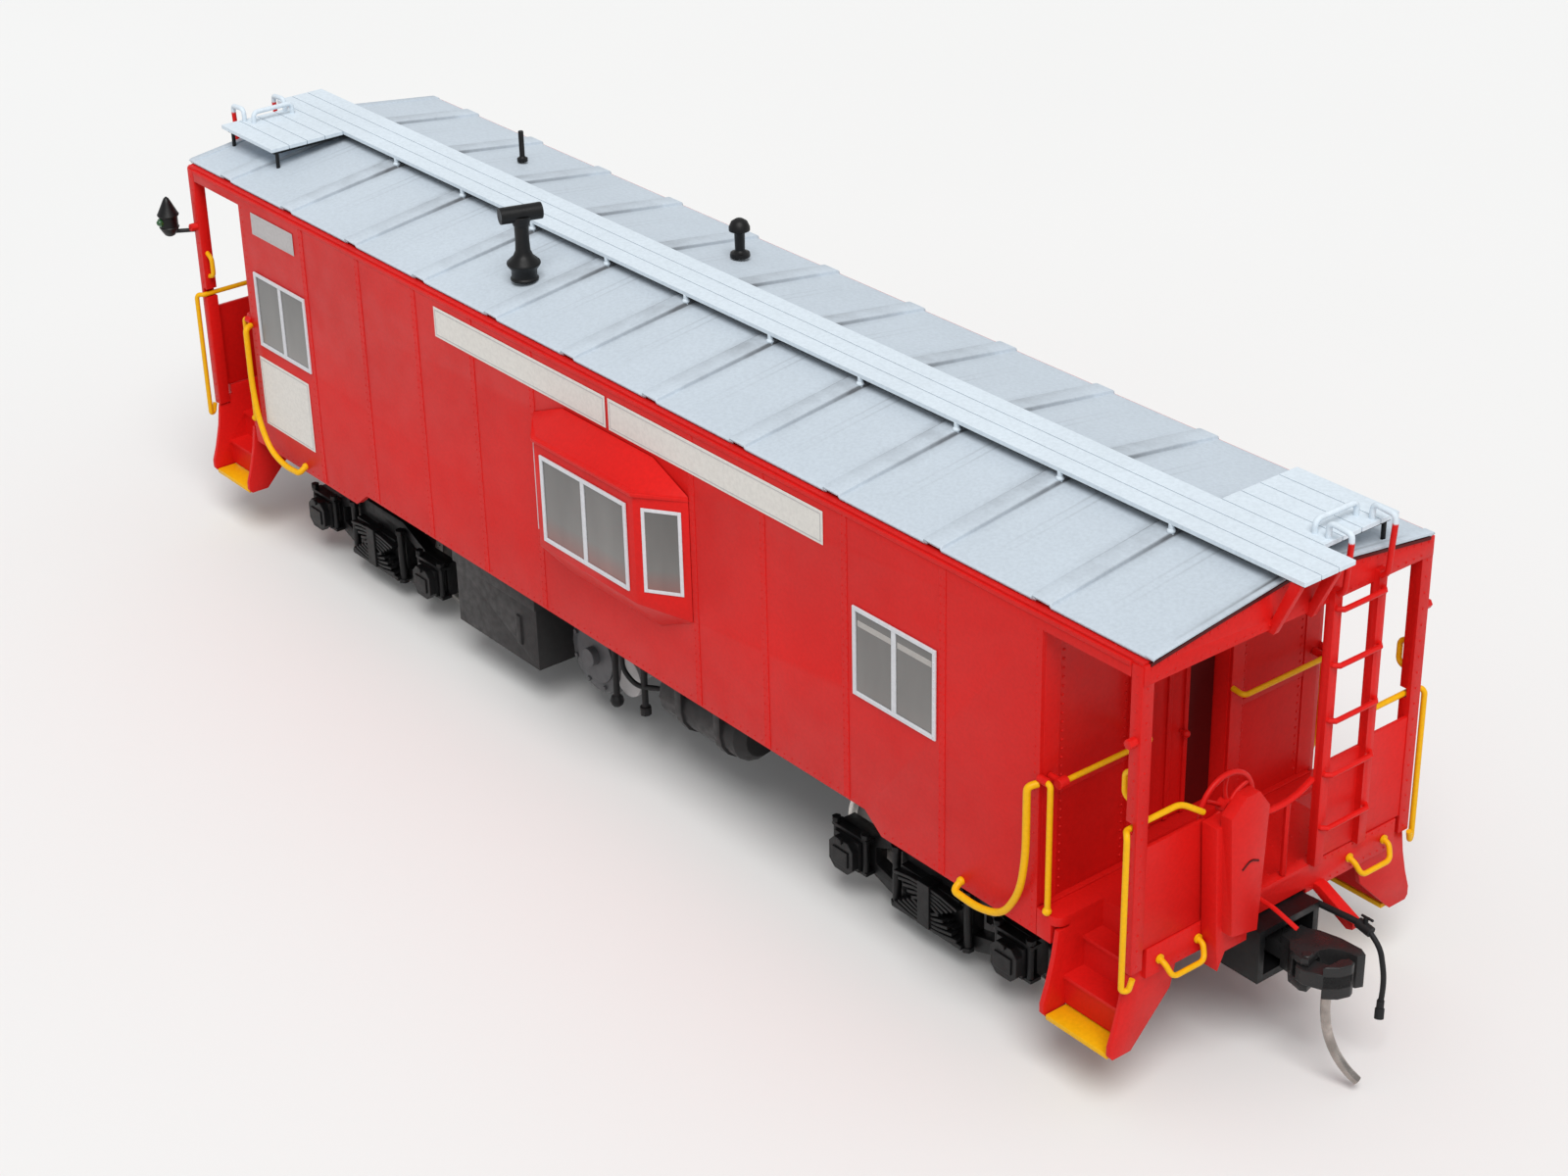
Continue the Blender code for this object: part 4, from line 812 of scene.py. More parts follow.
def make_roof():
    """The pressed roof sheet with its raised ribs and end flanges."""
    steps = []
    shoulder = 0.06
    half_rib = [(RIB_HALF - 0.1, RIB_HIGH), (RIB_HALF, RIB_HIGH * 0.85), (RIB_HALF + shoulder, 0)]
    for x in RIB_X:
        steps += [(x - out, lift) for out, lift in reversed(half_rib)]
        steps += [(x + out, lift) for out, lift in half_rib]
    end = ROOF_HIGH.x
    flange = [(end - 1.0, 0), (end - 0.95, 0.12), (end - 0.1, 0.12), (end, 0.04)]
    steps = [(-x, lift) for x, lift in reversed(flange)] + steps + flange
    across = [ROOF_SIDE * t for t in (0, 0.02, 0.04, 0.06, 0.08, 0.3, 0.6, 0.9, 0.979, 0.985, 0.992, 1.0)]
    across = [-y for y in reversed(across[1:])] + across
    bm = bmesh.new()
    grid = [[bm.verts.new((x, y, roof_height(y) + lift)) for y in across] for x, lift in steps]
    for first, second in zip(grid, grid[1:]):
        for index in range(len(across) - 1):
            bm.faces.new((first[index], second[index], second[index + 1], first[index + 1]))
    piece = finish_mesh("roof_sheet", bm, ROOF, ("roof",), angle=40)
    thick = piece.modifiers.new("thickness", "SOLIDIFY")
    thick.thickness = 0.45 * MM
    thick.offset = -1


WALK_HIGH = span("roof_walk")[1]
WALK_END, WALK_TOP, WALK_HALF, WALK_THICK = WALK_HIGH.x, 47.45, 3.0, 0.45
BEAM_TOP, BEAM_BOTTOM = WALK_TOP - 0.4, WALK_TOP - 0.85
PAD_NEAR, PAD_FAR, PAD_SIDE = 65.0, 76.3, WALK_HIGH.y


def make_roof_walk():
    """Three running boards, a pad of boards at each end and the brackets under them; the beams under the
    boards are black as painted shade.
    """
    bm = bmesh.new()
    gap = 0.1
    width = (2 * WALK_HALF - 2 * gap) / 3
    for index in range(3):
        low = -WALK_HALF + index * (width + gap)
        add_box(bm, (-WALK_END, low, WALK_TOP - WALK_THICK), (WALK_END, low + width, WALK_TOP))
    boards = 4
    width = (PAD_SIDE - WALK_HALF - boards * gap) / boards
    for sign in (1, -1):
        for index in range(boards):
            low = WALK_HALF + gap + index * (width + gap)
            corner = (sign * PAD_NEAR, sign * low, WALK_TOP - WALK_THICK)
            add_box(bm, corner, (sign * PAD_FAR, sign * (low + width), WALK_TOP))
    finish_mesh("roof_walk_boards", bm, WALK, ("roof_walk",), bevel=0.05)
    pegs, stringers = bmesh.new(), bmesh.new()
    for x in [rib + 0.9 for rib in RIB_X]:
        for y in (-WALK_HALF + 0.2, WALK_HALF - 0.2):
            add_rod(pegs, (x, y, roof_height(y)), (x, y, BEAM_TOP), 0.26, 16)
            add_ball(pegs, (x, y, roof_height(y) + RIB_HIGH + 0.05), 0.4, 0.7)
    finish_mesh("roof_walk_pegs", pegs, WALK, bevel=0.04)
    # Black beams under the boards and pads: painted shade in the gap below them.
    for y in (-WALK_HALF + 0.75, WALK_HALF - 0.75):
        reach = WALK_END - 0.5
        add_box(stringers, (-reach, y - 0.25, BEAM_BOTTOM), (reach, y + 0.25, BEAM_TOP))
    for sign in (1, -1):
        for x in (sign * (PAD_FAR - 0.7), sign * (PAD_NEAR + 0.7)):
            near, far = sign * (WALK_HALF - 1.0), sign * (PAD_SIDE - 0.5)
            add_box(stringers, (x - 0.25, near, BEAM_BOTTOM), (x + 0.25, far, BEAM_TOP))
            y = sign * (PAD_SIDE - 1.0)
            add_rod(stringers, (x, y, roof_height(y) - 0.1), (x, y, BEAM_TOP), 0.22, 12)
    finish_mesh("roof_walk_shade_stringers", stringers, BLACK, bevel=0.03)


def roof_rail_runs():
    """Grab irons of the front pad: a cross bar, and the two ladder-top rails split where they turn red."""
    top = WALK_TOP + 1.4
    foot = WALK_TOP - 0.1
    grey = [[(74.4, 4.1, foot), (74.4, 4.1, top - 0.2), (74.4, 9.1, top - 0.2), (74.4, 9.1, foot)]]
    red = []
    for y, low in ((4.3, 43.4), (9.6, 43.2)):
        grey.append([(75.7, y, foot), (75.7, y, top), (78.1, y, top - 0.2), (78.15, y, top - 1.0)])
        red.append([(78.15, y, top - 0.9), (77.8, y, low), (77.2, y, low - 0.5)])
    return grey, red


def make_roof_rails():
    """The grab irons at both ends, painted grey above and red where the ladder's stiles begin."""
    grey, red = roof_rail_runs()
    for colour, runs, material in (("grey", grey, WALK), ("red", red, RED)):
        for word, sign in ENDS:
            bm = bmesh.new()
            for points in runs:
                add_tube(bm, rounded(points, 0.7), 0.27, 12)
            finish_mesh(f"ladder_top_rails_{colour}_{word}", bm, material, turned=sign < 0, angle=50)


def add_casting(bm, node, profile, sides):
    """A turned fitting on the foot of its CAD node; returns the node's middle and its top."""
    low, high = span(node)
    centre = (low + high) / 2
    add_lathe(bm, profile, Matrix.Translation((centre.x, centre.y, low.z)), sides)
    return centre, high.z


def make_stack():
    """The smoke jack: flanged base, tapered collar, stem and a cross-pipe hood."""
    profile = [
        (0, 7.0), (0.8, 7.0), (0.75, 6.4), (0.72, 4.2), (0.78, 3.1), (1.05, 2.5), (1.7, 1.9), (1.75, 1.7),
        (1.6, 1.45), (1.32, 1.1), (1.3, 0.35), (1.45, 0.2), (1.45, 0), (0, 0),
    ]
    bm = bmesh.new()
    centre, top = add_casting(bm, "smoke_jack", profile, 40)
    turn = math.radians(73)
    reach = Vector((math.cos(turn), math.sin(turn), 0)) * 2.2
    middle = Vector((centre.x, centre.y, top - 0.88))
    add_rod(bm, middle - reach, middle + reach, 0.86, 32)
    add_rod(bm, middle - Vector((0, 0, 1.3)), middle - Vector((0, 0, 0.2)), 0.8, 32, 1.15)
    finish_mesh("smoke_jack_casting", bm, BLACK, ("smoke_jack",), bevel=0.06, angle=40)


def make_vents():
    """The mushroom vent and the plain vent pipe."""
    low, high = span("vent_pipe")
    tall = high.z - low.z
    cap = [
        (0, 4.1), (0.4, 4.05), (0.85, 3.75), (1.1, 3.2), (1.1, 2.85), (0.7, 2.7), (0.55, 2.5), (0.52, 0.7),
        (0.7, 0.5), (1.0, 0.4), (1.05, 0.2), (1.05, 0), (0, 0),
    ]
    pipe = [(0, tall), (0.26, tall), (0.3, tall - 0.05), (0.3, 0.6), (0.4, 0.45), (0.6, 0.35), (0.6, 0)]
    pipe.append((0, 0))
    for node, name, profile, sides in (
        ("roof_vent", "roof_vent_casting", cap, 32),
        ("vent_pipe", "vent_pipe_wire", pipe, 24),
    ):
        bm = bmesh.new()
        add_casting(bm, node, profile, sides)
        finish_mesh(name, bm, BLACK, (node,), angle=40)


# --- ends


POST_FRONT, POST_INNER, POST_OUTER = 76.3, 15.9, 17.2
FASCIA_ROW = 42.2


def make_end_rivets(word, sign):
    """Rivets on the end frame's fascia, posts and panels, and on the end wall."""
    bm = bmesh.new()
    front, wall = POST_FRONT + 0.1, WALL_END - 0.1
    for side in (-1, 1):
        places = []
        for start, end, pitch in (
            ((front, 0.6, 45.3), (front, 16.4, 43.2), 0.95),
            ((front, 1.0, FASCIA_ROW), (front, 15.6, FASCIA_ROW), 0.95),
            ((POST_FRONT, 16.55, 15.0), (POST_FRONT, 16.55, 41.4), 1.6),
        ):
            places += row(*on_side(side, (start, end)), pitch)
        add_rivets(bm, places, (1, 0, 0), 0.11, 0.06)
        places = []
        for y in (7.3, 14.6):
            places += row((wall, side * y, 16.4), (wall, side * y, 42.0), 0.85)
        for z in (26.9, 41.9):
            places += row((wall, side * 7.3, z), (wall, side * 14.6, z), 0.85)
        add_rivets(bm, places, (1, 0, 0), 0.14, 0.1)
        places = row((75.7, side * POST_OUTER, 15.2), (75.7, side * POST_OUTER, 42.6), 1.6)
        add_rivets(bm, places, (0, side, 0), 0.11, 0.05)
    finish_mesh(f"end_rivets_{word}", bm, RED, turned=sign < 0, angle=60)


def make_end_wall(word, sign):
    """The end wall's raised plates and foot angle, its battened door, and painted shade in the door's gap
    and under the roof's end.
    """
    wall = WALL_END - 0.1
    bm = bmesh.new()
    for side in (-1, 1):
        add_box(bm, (wall - 0.2, side * 5.4, 15.6), (wall + 0.35, side * 6.9, 42.6))
        add_box(bm, (wall - 0.2, side * 15.0, 15.6), (wall + 0.12, side * 16.8, 42.6))
        add_box(bm, (wall - 0.2, side * 6.9, 25.9), (wall + 0.1, side * 15.0, 26.5))
    add_box(bm, (wall - 0.2, -6.9, 36.5), (wall + 0.35, 6.9, 37.3))
    add_box(bm, (wall - 0.3, -16.4, 14.9), (wall + 0.55, 16.4, 15.6))
    finish_mesh(f"end_wall_plates_{word}", bm, RED, bevel=0.05, turned=sign < 0)
    back = WALL_END - 1.8
    bm = bmesh.new()
    add_box(bm, (back - 0.02, -4.9, 16.5), (back + 0.2, 2.0, 36.0))
    for y in (-4.6, -2.5, -0.4, 1.7):
        add_box(bm, (back, y - 0.25, 16.5), (back + 0.4, y + 0.25, 36.0))
    for z in (18.5, 26.5, 34.0):
        add_rod(bm, (back + 0.4, -4.7, z - 0.6), (back + 0.4, -4.7, z + 0.6), 0.22, 12)
    add_rod(bm, (back + 0.2, 1.2, 24.9), (back + 0.8, 1.2, 24.9), 0.2, 12)
    add_ball(bm, (back + 0.9, 1.2, 24.9), 0.38)
    finish_mesh(f"end_door_{word}", bm, RED, bevel=0.05, turned=sign < 0)
    # A dark red sheet in the door's recess beside the battens: painted shade in the deep gap.
    bm = bmesh.new()
    add_box(bm, (back, 2.0, 16.5), (back + 0.12, 5.2, 36.3))
    finish_mesh(f"end_door_gap_shade_{word}", bm, SHADE_RED, bevel=0.03, turned=sign < 0)
    # A thin dark red plate under the roof's end: painted shade in the gap there.
    bm = bmesh.new()
    gap = [(y, roof_height(y) - 0.4) for y in (-16.5, -8, 0, 8, 16.5)]
    gap += [(y, z - 0.3) for y, z in reversed(gap)]
    add_plate(bm, gap, "yz", ROOF_HIGH.x - 1.2, ROOF_HIGH.x - 0.3)
    finish_mesh(f"roof_end_gap_shade_{word}", bm, SHADE_RED, turned=sign < 0)


WIRE = 0.27


def make_corner_rail(word, sign, hand, side):
    """The curved side grab, the upright at the body's corner and the rail across the end wall."""
    out, wall_x = 18.2, WALL_END + 1.5
    rail_x, upright_x = wall_x + 0.05, wall_x - 0.1
    grab = [
        (55.6, SIDE + 0.05, 13.4), (55.6, out, 12.75), (58.9, out, 12.55), (61.9, out, 13.5),
        (63.9, out, 16.6), (64.6, out, 20.6), (64.6, out, 27.6), (65.0, 17.3, 27.75),
    ]
    wall = [(rail_x, 15.7, 28.1), (rail_x, 5.6, 28.1), (WALL_END + 0.2, 5.6, 28.3)]
    upright = [
        (wall_x - 0.7, 17.15, 28.2), (upright_x, 17.25, 28.1),
        (upright_x, 17.25, 16.0), (upright_x, 17.55, 15.6),
    ]
    bm = bmesh.new()
    add_tube(bm, rounded(on_side(side, grab), 2.0, 8), 0.34, 14)
    add_tube(bm, rounded(on_side(side, wall), 0.6), WIRE * 0.95, 14)
    add_tube(bm, rounded(on_side(side, upright), 0.5), WIRE, 14)
    add_ball(bm, (55.6, side * (SIDE + 0.12), 13.35), 0.42)
    add_ball(bm, (upright_x, side * 17.3, 15.75), 0.42)
    name = f"corner_rail_{word}_{hand}"
    finish_mesh(f"{name}_wire", bm, YELLOW, (name,), turned=sign < 0, angle=50)
    bm = bmesh.new()
    eyelets = [
        ((WALL_END + 0.1, 16.1, 28.1), (rail_x, 16.1, 28.1), 0.34),
        ((rail_x, 15.6, 28.1), (rail_x, 16.6, 28.1), 0.5),
        ((WALL_END - 0.1, 17.15, 28.2), (wall_x - 0.5, 17.15, 28.2), 0.38),
    ]
    for start, end, radius in eyelets:
        add_rod(bm, *on_side(side, (start, end)), radius, 14)
    finish_mesh(f"{name}_eyelets", bm, RED, turned=sign < 0, bevel=0.05, angle=50)


def make_end_rail(word, sign, hand, side):
    """The long grab on a corner post, the rail over the end panel, and the loop on the post's back."""
    x_post, out, x_rail, high = 76.1, 18.05, 75.45, 28.3
    post = [
        (76.5, 17.2, 14.2), (76.4, 17.5, 13.1), (x_post, out, 13.2), (x_post, out, high - 0.35),
        (75.9, 17.9, high), (x_rail, 17.5, high),
    ]
    left_tail = [(x_rail, 11.3, high), (76.0, 9.9, 27.4), (76.15, 9.3, 27.0)]
    tail = left_tail if side < 0 else [(x_rail, 10.75, high)]
    bm = bmesh.new()
    add_tube(bm, rounded(on_side(side, post + tail), 0.8), WIRE, 14)
    name = f"end_rail_{word}_{hand}"
    finish_mesh(f"{name}_wire", bm, YELLOW, (name,), turned=sign < 0, angle=50)
    bm = bmesh.new()
    y = side * (POST_INNER + POST_OUTER) / 2
    loop = [(75.4, y, 33.4), (74.2, y, 32.9), (74.2, y, 30.8), (75.4, y, 30.4)]
    add_tube(bm, rounded(loop, 0.5), WIRE, 14)
    finish_mesh(f"post_loop_{word}_{hand}", bm, YELLOW, turned=sign < 0, angle=50)


def make_sill_grab(word, sign, hand, side):
    """The low grab under an end panel, with its two feet."""
    foot, drop = POST_FRONT + 0.05, 13.3
    points = [
        (foot, 13.9, 14.7), (77.0, 13.9, 14.5), (77.6, 13.5, drop),
        (77.6, 9.8, drop), (77.0, 9.4, 14.5), (foot, 9.4, 14.7),
    ]
    bm = bmesh.new()
    add_tube(bm, rounded(on_side(side, points), 0.6), WIRE * 0.95, 14)
    for y in (13.9, 9.4):
        add_rod(bm, (foot - 0.02, side * y, 14.7), (foot + 0.14, side * y, 14.7), 0.42, 14)
    name = f"sill_grab_{word}_{hand}"
    finish_mesh(f"{name}_wire", bm, YELLOW, (name,), turned=sign < 0, angle=50)


def make_brake_wheel(word, sign):
    """A spoked hand wheel with a hub and a round rim."""
    low, high = span("brake_wheel_front")
    centre = (low + high) / 2
    radius = (high.z - low.z) / 2 - 0.28
    bm = bmesh.new()
    rim = [centre + Vector((0, c, s)) * radius for c, s in circle(48)]
    add_tube(bm, rim + rim[:1], 0.26, 12)
    add_rod(bm, centre - Vector((0.5, 0, 0)), centre + Vector((0.5, 0, 0)), 0.75, 24)
    add_ball(bm, centre + Vector((0.5, 0, 0)), 0.4)
    for c, s in circle(6, 0.5):
        out = Vector((0, c, s))
        bend = centre + out * radius * 0.55 - Vector((0.25, 0, 0))
        add_tube(bm, rounded([centre + out * 0.5, bend, centre + out * radius], 0.8), 0.2, 10)
    name = f"brake_wheel_{word}"
    finish_mesh(f"{name}_casting", bm, RED, (name,), turned=sign < 0, angle=50)


def make_brake_stand_details(word, sign):
    """The curved hinge groove on the stand's front, as a thin dark red tube painted as the shade in the
    groove.
    """
    front = span("brake_stand_front")[1].x + 0.02
    bm = bmesh.new()
    groove = [(front, -7.6, 22.1), (front, -6.65, 22.75), (front, -5.7, 22.3)]
    add_tube(bm, rounded(groove, 0.9), 0.1, 8)
    finish_mesh(f"brake_stand_groove_shade_{word}", bm, SHADE_RED, turned=sign < 0)


def make_platform_details(word, sign):
    """Rivets along the end sill, and three rows of studs across the deck."""
    bm = bmesh.new()
    places = []
    for low, high, z in ((-15.0, -9.2, 15.9), (4.6, 15.0, 15.9), (-15.0, -4.6, 13.7), (4.6, 15.0, 13.7)):
        places += row((POST_FRONT, low, z), (POST_FRONT, high, z), 0.9)
    add_rivets(bm, places, (1, 0, 0), 0.1, 0.05)
    for x in (68.6, 71.5, 74.4):
        places = row((x, -10.8, 15.4), (x, 10.8, 15.4), 1.2)
        add_rivets(bm, places, (0, 0, 1), 0.12, 0.05)
    finish_mesh(f"platform_rivets_{word}", bm, RED, turned=sign < 0, angle=60)


def make_marker_lamp(hand, side):
    """A marker lamp: round body with a peaked cap, green lenses and its bracket rod."""
    name = f"marker_lamp_{hand}"
    centre = Vector((-77.5, side * 19.7, span(name)[0].z))
    profile = [
        (0, 4.75), (0.3, 4.5), (0.55, 4.0), (1.15, 2.75), (1.25, 2.6), (1.2, 2.45), (1.05, 2.35),
        (1.05, 1.2), (1.15, 1.1), (0.95, 0.7), (0.6, 0.15), (0.35, 0), (0, 0),
    ]
    bm = bmesh.new()
    add_lathe(bm, profile, Matrix.Translation(centre), 32)
    bend = centre + Vector((0.3, -side * 1.0, 0.4))
    arm = [centre + Vector((0, 0, 0.5)), bend, (-76.2, side * 17.0, 36.0)]
    add_tube(bm, rounded(arm, 0.6), 0.24, 10)
    finish_mesh(f"{name}_body", bm, BLACK, (name,), angle=35)
    bm = bmesh.new()
    place = centre + Vector((0, 0, 1.8))
    for out in (Vector((-1, 0, 0)), Vector((0, side, 0))):
        add_rod(bm, place + out * 0.85, place + out * 1.2, 0.5, 20)
        add_ball(bm, place + out * 1.12, 0.42, 0.9)
    finish_mesh(f"marker_lenses_{hand}", bm, GREEN_LENS, bevel=0.04)


# --- trucks, couplers and hoses

AXLE_Z, AXLE_X, TRUCK_X = 5.45, 11.2, 47.4
# Half an axle with its wheel, from the middle out: (radius, distance from the middle).
WHEEL_PROFILE = [
    (0.75, 0.0), (0.75, 6.4), (1.2, 6.9), (1.55, 7.3), (1.7, 7.8), (2.6, 8.15), (3.7, 7.9), (4.15, 7.55),
    (4.3, 7.25), (5.1, 7.25), (5.35, 7.32), (5.45, 7.5), (5.43, 7.68), (5.25, 7.85), (4.95, 7.95),
    (4.85, 8.1), (4.74, 9.95), (4.68, 10.05), (4.3, 10.05), (4.12, 9.9), (3.95, 9.55), (3.3, 9.2),
    (2.4, 9.1), (1.8, 9.3), (1.5, 9.7), (1.4, 10.2), (0.88, 10.3), (0.88, 12.4), (0, 12.4),
]
SHINY_RADIUS = 3.94


def make_wheelset(word, place, x):
    """A pair of turned wheels on their axle, with bright treads and blackened plates."""
    profile = [(r, a) for r, a in reversed(WHEEL_PROFILE)] + [(r, -a) for r, a in WHEEL_PROFILE[1:]]
    bm = bmesh.new()
    placed = Matrix.Translation((x, 0, AXLE_Z)) @ Matrix.Rotation(math.radians(90), 4, "X")
    bands = add_lathe(bm, profile, placed, 64)
    for band, (first, second) in zip(bands, zip(profile, profile[1:])):
        shiny = min(first[0], second[0]) > SHINY_RADIUS
        for face in band:
            face.material_index = 1 if shiny else 0
    name = f"wheelset_{word}_{place}"
    metals = [WHEEL_BLACK, TREAD_STEEL]
    finish_mesh(f"{name}_turned", bm, metals, (name,), angle=38, body=name)


def make_truck_details(word, centre):
    """Journal lids, bolts, leaf springs, brake hangers and the swing plank, on top of the side frames."""
    hanger = ((2.9, 8.6, 0.42, 12), (2.45, 2.95, 0.62, 6), (8.4, 9.0, 0.62, 6))
    bm = bmesh.new()
    for side in (-1, 1):
        for sign in (-1, 1):
            x = centre + sign * AXLE_X
            add_plate(bm, octagon(x, AXLE_Z - 0.1, 1.7, 1.75), "xz", *sorted((side * 14.1, side * 14.95)))
            add_rod(bm, (x, side * 14.8, AXLE_Z + 1.5), (x, side * 15.2, AXLE_Z + 1.5), 0.35, 12)
            add_box(bm, (x - 1.1, side * 14.9, 4.4), (x + 1.1, side * 15.12, 6.1))
            for shift in (-2.1, 2.1):
                add_rod(bm, (x + shift, side * 13.6, 4.0), (x + shift, side * 13.6, 7.9), 0.32, 12)
                add_rod(bm, (x + shift, side * 13.6, 7.7), (x + shift, side * 13.6, 8.2), 0.5, 6)
            for low in (3.65, 7.2):
                add_box(bm, (x - 2.5, side * 12.6, low), (x + 2.5, side * 13.9, low + 0.4))
        for leaf in range(5):
            reach = 4.3 - leaf * 0.62
            lift = 0.02 * leaf
            for direction, base in ((1, 3.0), (-1, 7.3)):
                z = base + direction * leaf * 0.42
                curve = []
                for t in (-1, -0.5, 0, 0.5, 1):
                    curve.append((centre + reach * t, side * 13.9, z + direction * (0.5 * t * t - lift)))
                for first, second in zip(curve, curve[1:]):
                    add_leaf(bm, first, second)
        add_box(bm, (centre - 0.8, side * 13.3, 3.0), (centre + 0.8, side * 14.55, 7.7))
        add_box(bm, (centre - 4.8, side * 12.4, 2.7), (centre + 4.8, side * 14.2, 3.2))
        for sign in (-1, 1):
            x = centre + sign * 4.9
            for low, high, radius, sides in hanger:
                add_rod(bm, (x, side * 13.4, low), (x, side * 13.4, high), radius, sides)
            add_box(bm, (centre + sign * 5.0, side * 10.6, 4.6), (centre + sign * 5.6, side * 11.3, 8.0))
    add_box(bm, (centre - 2.0, -12.4, 2.8), (centre + 2.0, 12.4, 3.4))
    finish_mesh(f"truck_fittings_{word}", bm, BLACK, bevel=0.08, body=f"truck_{word}")


def octagon(x, z, half, cut):
    """An eight-sided outline about a point."""
    corner = half * 0.55
    quarter = [(half, -corner), (half, corner), (corner, half), (-corner, half)]
    return [(x + a, z + b * cut / half) for a, b in quarter + [(-a, -b) for a, b in quarter]]


LEAF_WIDTH, LEAF_THICK = 0.9, 0.34


def add_leaf(bm, first, second):
    """One straight stretch of a leaf spring."""
    first, second = Vector(first), Vector(second)
    along = second - first
    turn = Matrix.Translation((first + second) / 2) @ along.to_track_quat("X", "Z").to_matrix().to_4x4()
    corner = Vector((along.length / 2 + 0.03, LEAF_WIDTH / 2, LEAF_THICK / 2))
    add_box(bm, -corner, corner, turn)


COUPLER_Z = 10.7
KNUCKLE_OUTLINE = [
    (81.0, -2.1), (81.4, -2.7), (82.4, -2.8), (83.9, -2.2), (84.9, -1.1), (85.3, 0.0), (85.1, 0.55),
    (84.4, 0.6), (84.0, 0.0), (83.2, -0.5), (82.4, -0.75), (81.5, -0.95), (81.0, -1.4),
]
KNUCKLE_TIP = 83.25


def make_knuckle(word, sign):
    """The knuckle with its tall tip and hinge pin, and the curved trip pin under it."""
    low, high = COUPLER_Z - 1.6, COUPLER_Z + 1.7
    bm = bmesh.new()
    add_plate(bm, KNUCKLE_OUTLINE, "xy", low + 0.98, high - 0.78)
    tip = [(x, y) for x, y in KNUCKLE_OUTLINE if x > KNUCKLE_TIP]
    add_plate(bm, tip, "xy", low, high)
    add_rod(bm, (81.75, -1.7, high - 0.35), (81.75, -1.7, high + 0.12), 0.5, 20)
    name = f"knuckle_{word}"
    slot, turned = "coupler_black", sign < 0
    finish_mesh(f"{name}_casting", bm, COUPLER_METAL, (name,), 0.16, turned, segments=3, body=name)
    trip = [
        (83.8, -1.3, low + 0.5), (83.8, -1.3, 7.4), (84.1, -1.1, 5.2),
        (84.8, -0.7, 3.3), (85.7, -0.2, 1.9), (86.6, 0.3, 1.0),
    ]
    bm = bmesh.new()
    add_tube(bm, rounded(trip, 1.2, 6), 0.44, 18)
    finish_mesh(f"trip_pin_{word}", bm, PIN_STEEL, bevel=0.06, turned=turned, angle=50, body=name)


def make_air_hose(word, sign):
    """The brake pipe from behind the sill, its cock, the thin drooping hose and its end fitting."""
    pipe = [(76.5, 4.3, 12.7), (79.9, 4.4, 12.9), (81.6, 4.6, 12.9), (83.3, 4.6, 12.6)]
    hose = [(83.0, 4.6, 12.7), (84.3, 4.75, 11.4), (84.8, 5.0, 8.4), (84.7, 4.85, 5.4)]
    bm = bmesh.new()
    add_tube(bm, rounded(pipe, 1.0), 0.3, 16)
    add_tube(bm, rounded(hose, 1.4, 8), 0.25, 16)
    add_rod(bm, (81.8, 4.6, 12.9), (83.3, 4.6, 12.6), 0.5, 20)
    add_rod(bm, (82.6, 4.6, 13.1), (82.6, 4.6, 13.8), 0.22, 12)
    add_box(bm, (82.1, 4.5, 13.7), (83.4, 4.7, 13.9))
    add_rod(bm, (84.71, 4.88, 6.2), (84.7, 4.85, 5.2), 0.34, 16)
    add_rod(bm, (84.7, 4.86, 5.4), (84.9, 4.6, 4.5), 0.42, 20)
    name = f"air_hose_{word}"
    finish_mesh(f"{name}_moulding", bm, HOSE, (name,), bevel=0.05, turned=sign < 0, angle=45)


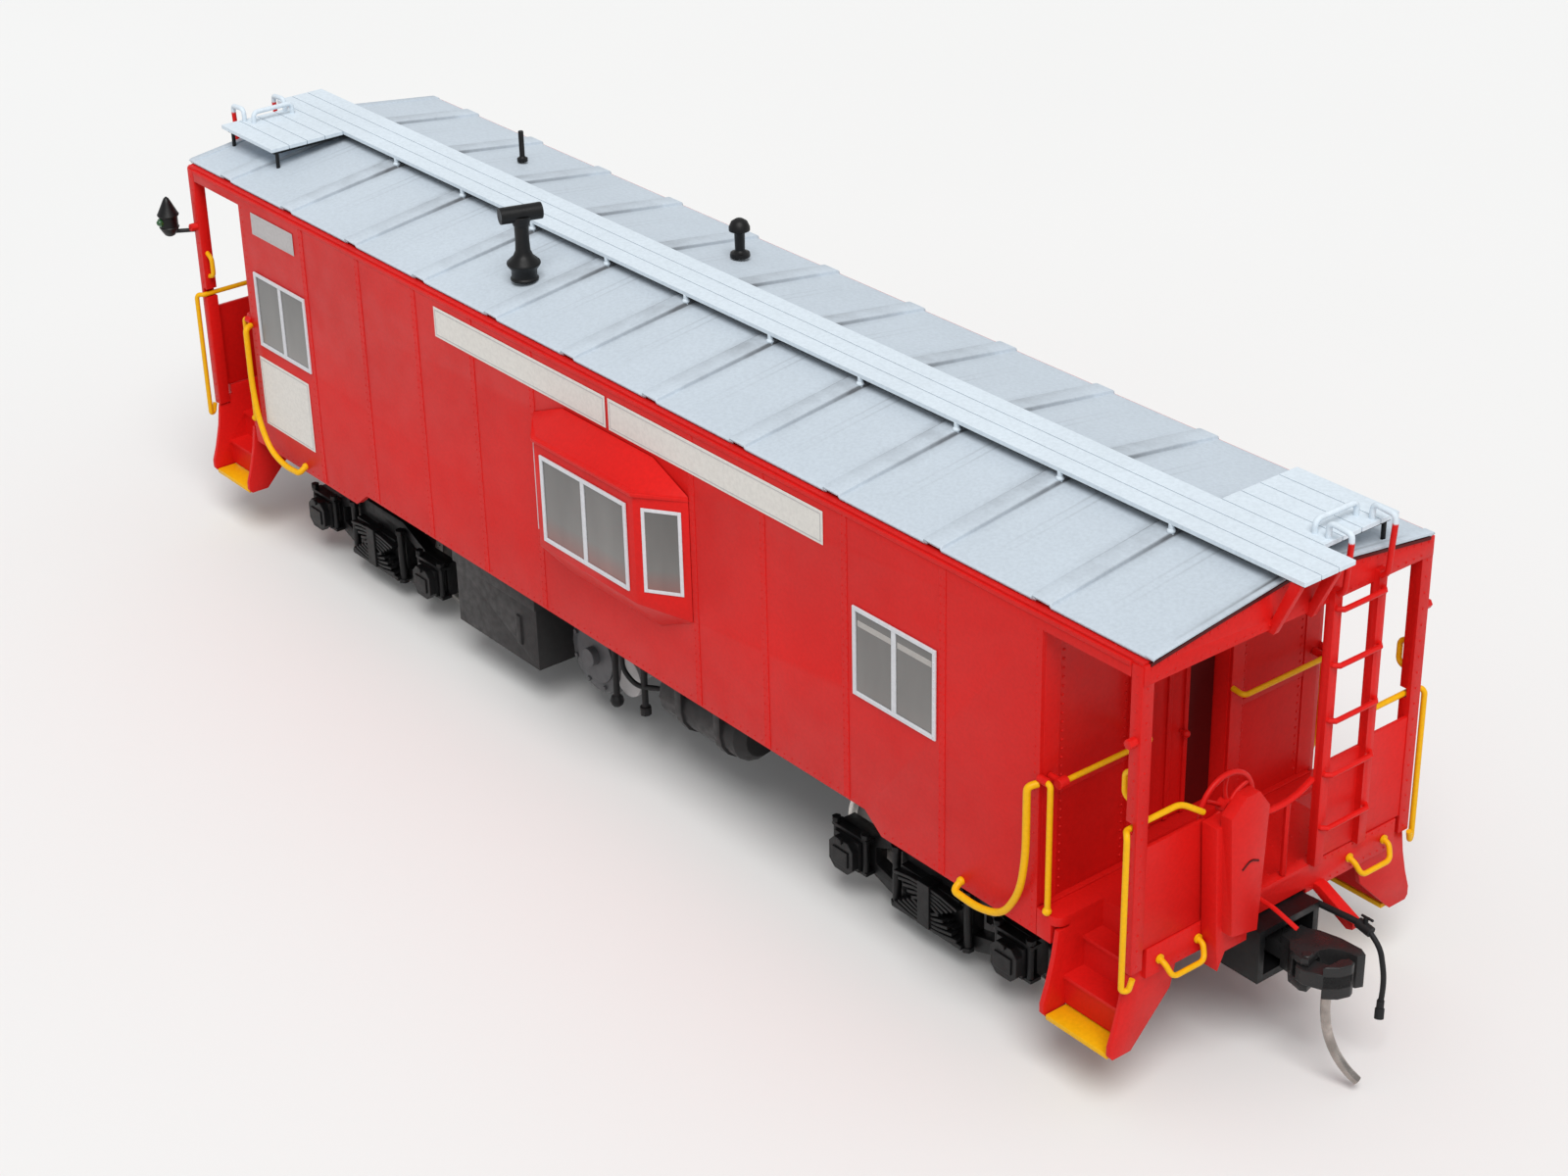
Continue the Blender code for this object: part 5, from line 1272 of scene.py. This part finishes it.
def make_underbody_details():
    """Pipes and brackets under the floor, the brake cylinder's bolted head and the slack adjuster."""
    bm = bmesh.new()
    for points, bend, radius in (
        ([(-40, 6, 13.4), (-8, 6, 13.4), (-2, 3.5, 13.2), (40, 3.5, 13.4)], 3, 0.4),
        ([(-5.4, -8.2, 10), (-5.4, -5, 12.5), (6, -5, 13.2), (9, -9, 12.6)], 1.5, 0.3),
        ([(1.5, -14.6, 13.9), (1.5, -14.6, 10.4), (3.2, -14.2, 9.0), (6.5, -13.0, 9.6)], 1.0, 0.28),
    ):
        add_tube(bm, rounded(points, bend), radius, 12)
    for x in (-30, -10, 10, 27):
        add_box(bm, (x - 0.5, -15.8, 13.3), (x + 0.5, 15.8, 14.5))
    add_ball(bm, (-0.9, -13.8, 5.4), 0.75)
    finish_mesh("underbody_pipes", bm, BLACK, bevel=0.05)
    x, z = -5.4, 8.6
    bm = bmesh.new()
    add_rod(bm, (x, -13.25, z), (x, -12.9, z), 3.1, 40)
    add_rod(bm, (x, -14.1, z), (x, -13.2, z), 1.0, 24)
    for c, s in circle(8, 0.5):
        place = Vector((x + 3.65 * c, -13.0, z + 3.65 * s))
        add_rod(bm, place, place - Vector((0, 0.3, 0)), 0.28, 6)
    finish_mesh("brake_cylinder_head", bm, LIGHT_GREY, bevel=0.06)
    bm = bmesh.new()
    add_rod(bm, (-0.2, -12.9, 8.2), (-0.2, -12.3, 8.2), 2.3, 32)
    add_rod(bm, (-0.2, -12.4, 8.2), (-0.2, -9.5, 8.6), 1.2, 20)
    add_box(bm, (-0.8, -12.4, 9.0), (0.4, -9.0, 13.9))
    finish_mesh("slack_adjuster", bm, PALE_GREY, bevel=0.08)


# --- the whole model

make_camera()
make_studio()
keep_nodes()
for hand, side in HANDS:
    make_side_seams(hand, side)
    make_side_trim(hand, side)
    make_boards(hand, side)
    make_window(f"near_{hand}", side, True)
    make_window(f"far_{hand}", side, False)
    make_bay_windows(hand, side)
    make_marker_lamp(hand, side)
make_roof()
make_roof_walk()
make_roof_rails()
make_stack()
make_vents()
make_underbody_details()
for word, sign in ENDS:
    make_end_rivets(word, sign)
    make_end_wall(word, sign)
    make_brake_wheel(word, sign)
    make_brake_stand_details(word, sign)
    make_platform_details(word, sign)
    make_knuckle(word, sign)
    make_air_hose(word, sign)
    make_truck_details(word, sign * TRUCK_X)
    for place, offset in (("front", AXLE_X), ("rear", -AXLE_X)):
        make_wheelset(word, place, sign * TRUCK_X + offset)
    for hand, side in HANDS:
        make_corner_rail(word, sign, hand, side)
        make_end_rail(word, sign, hand, side)
        make_sill_grab(word, sign, hand, side)
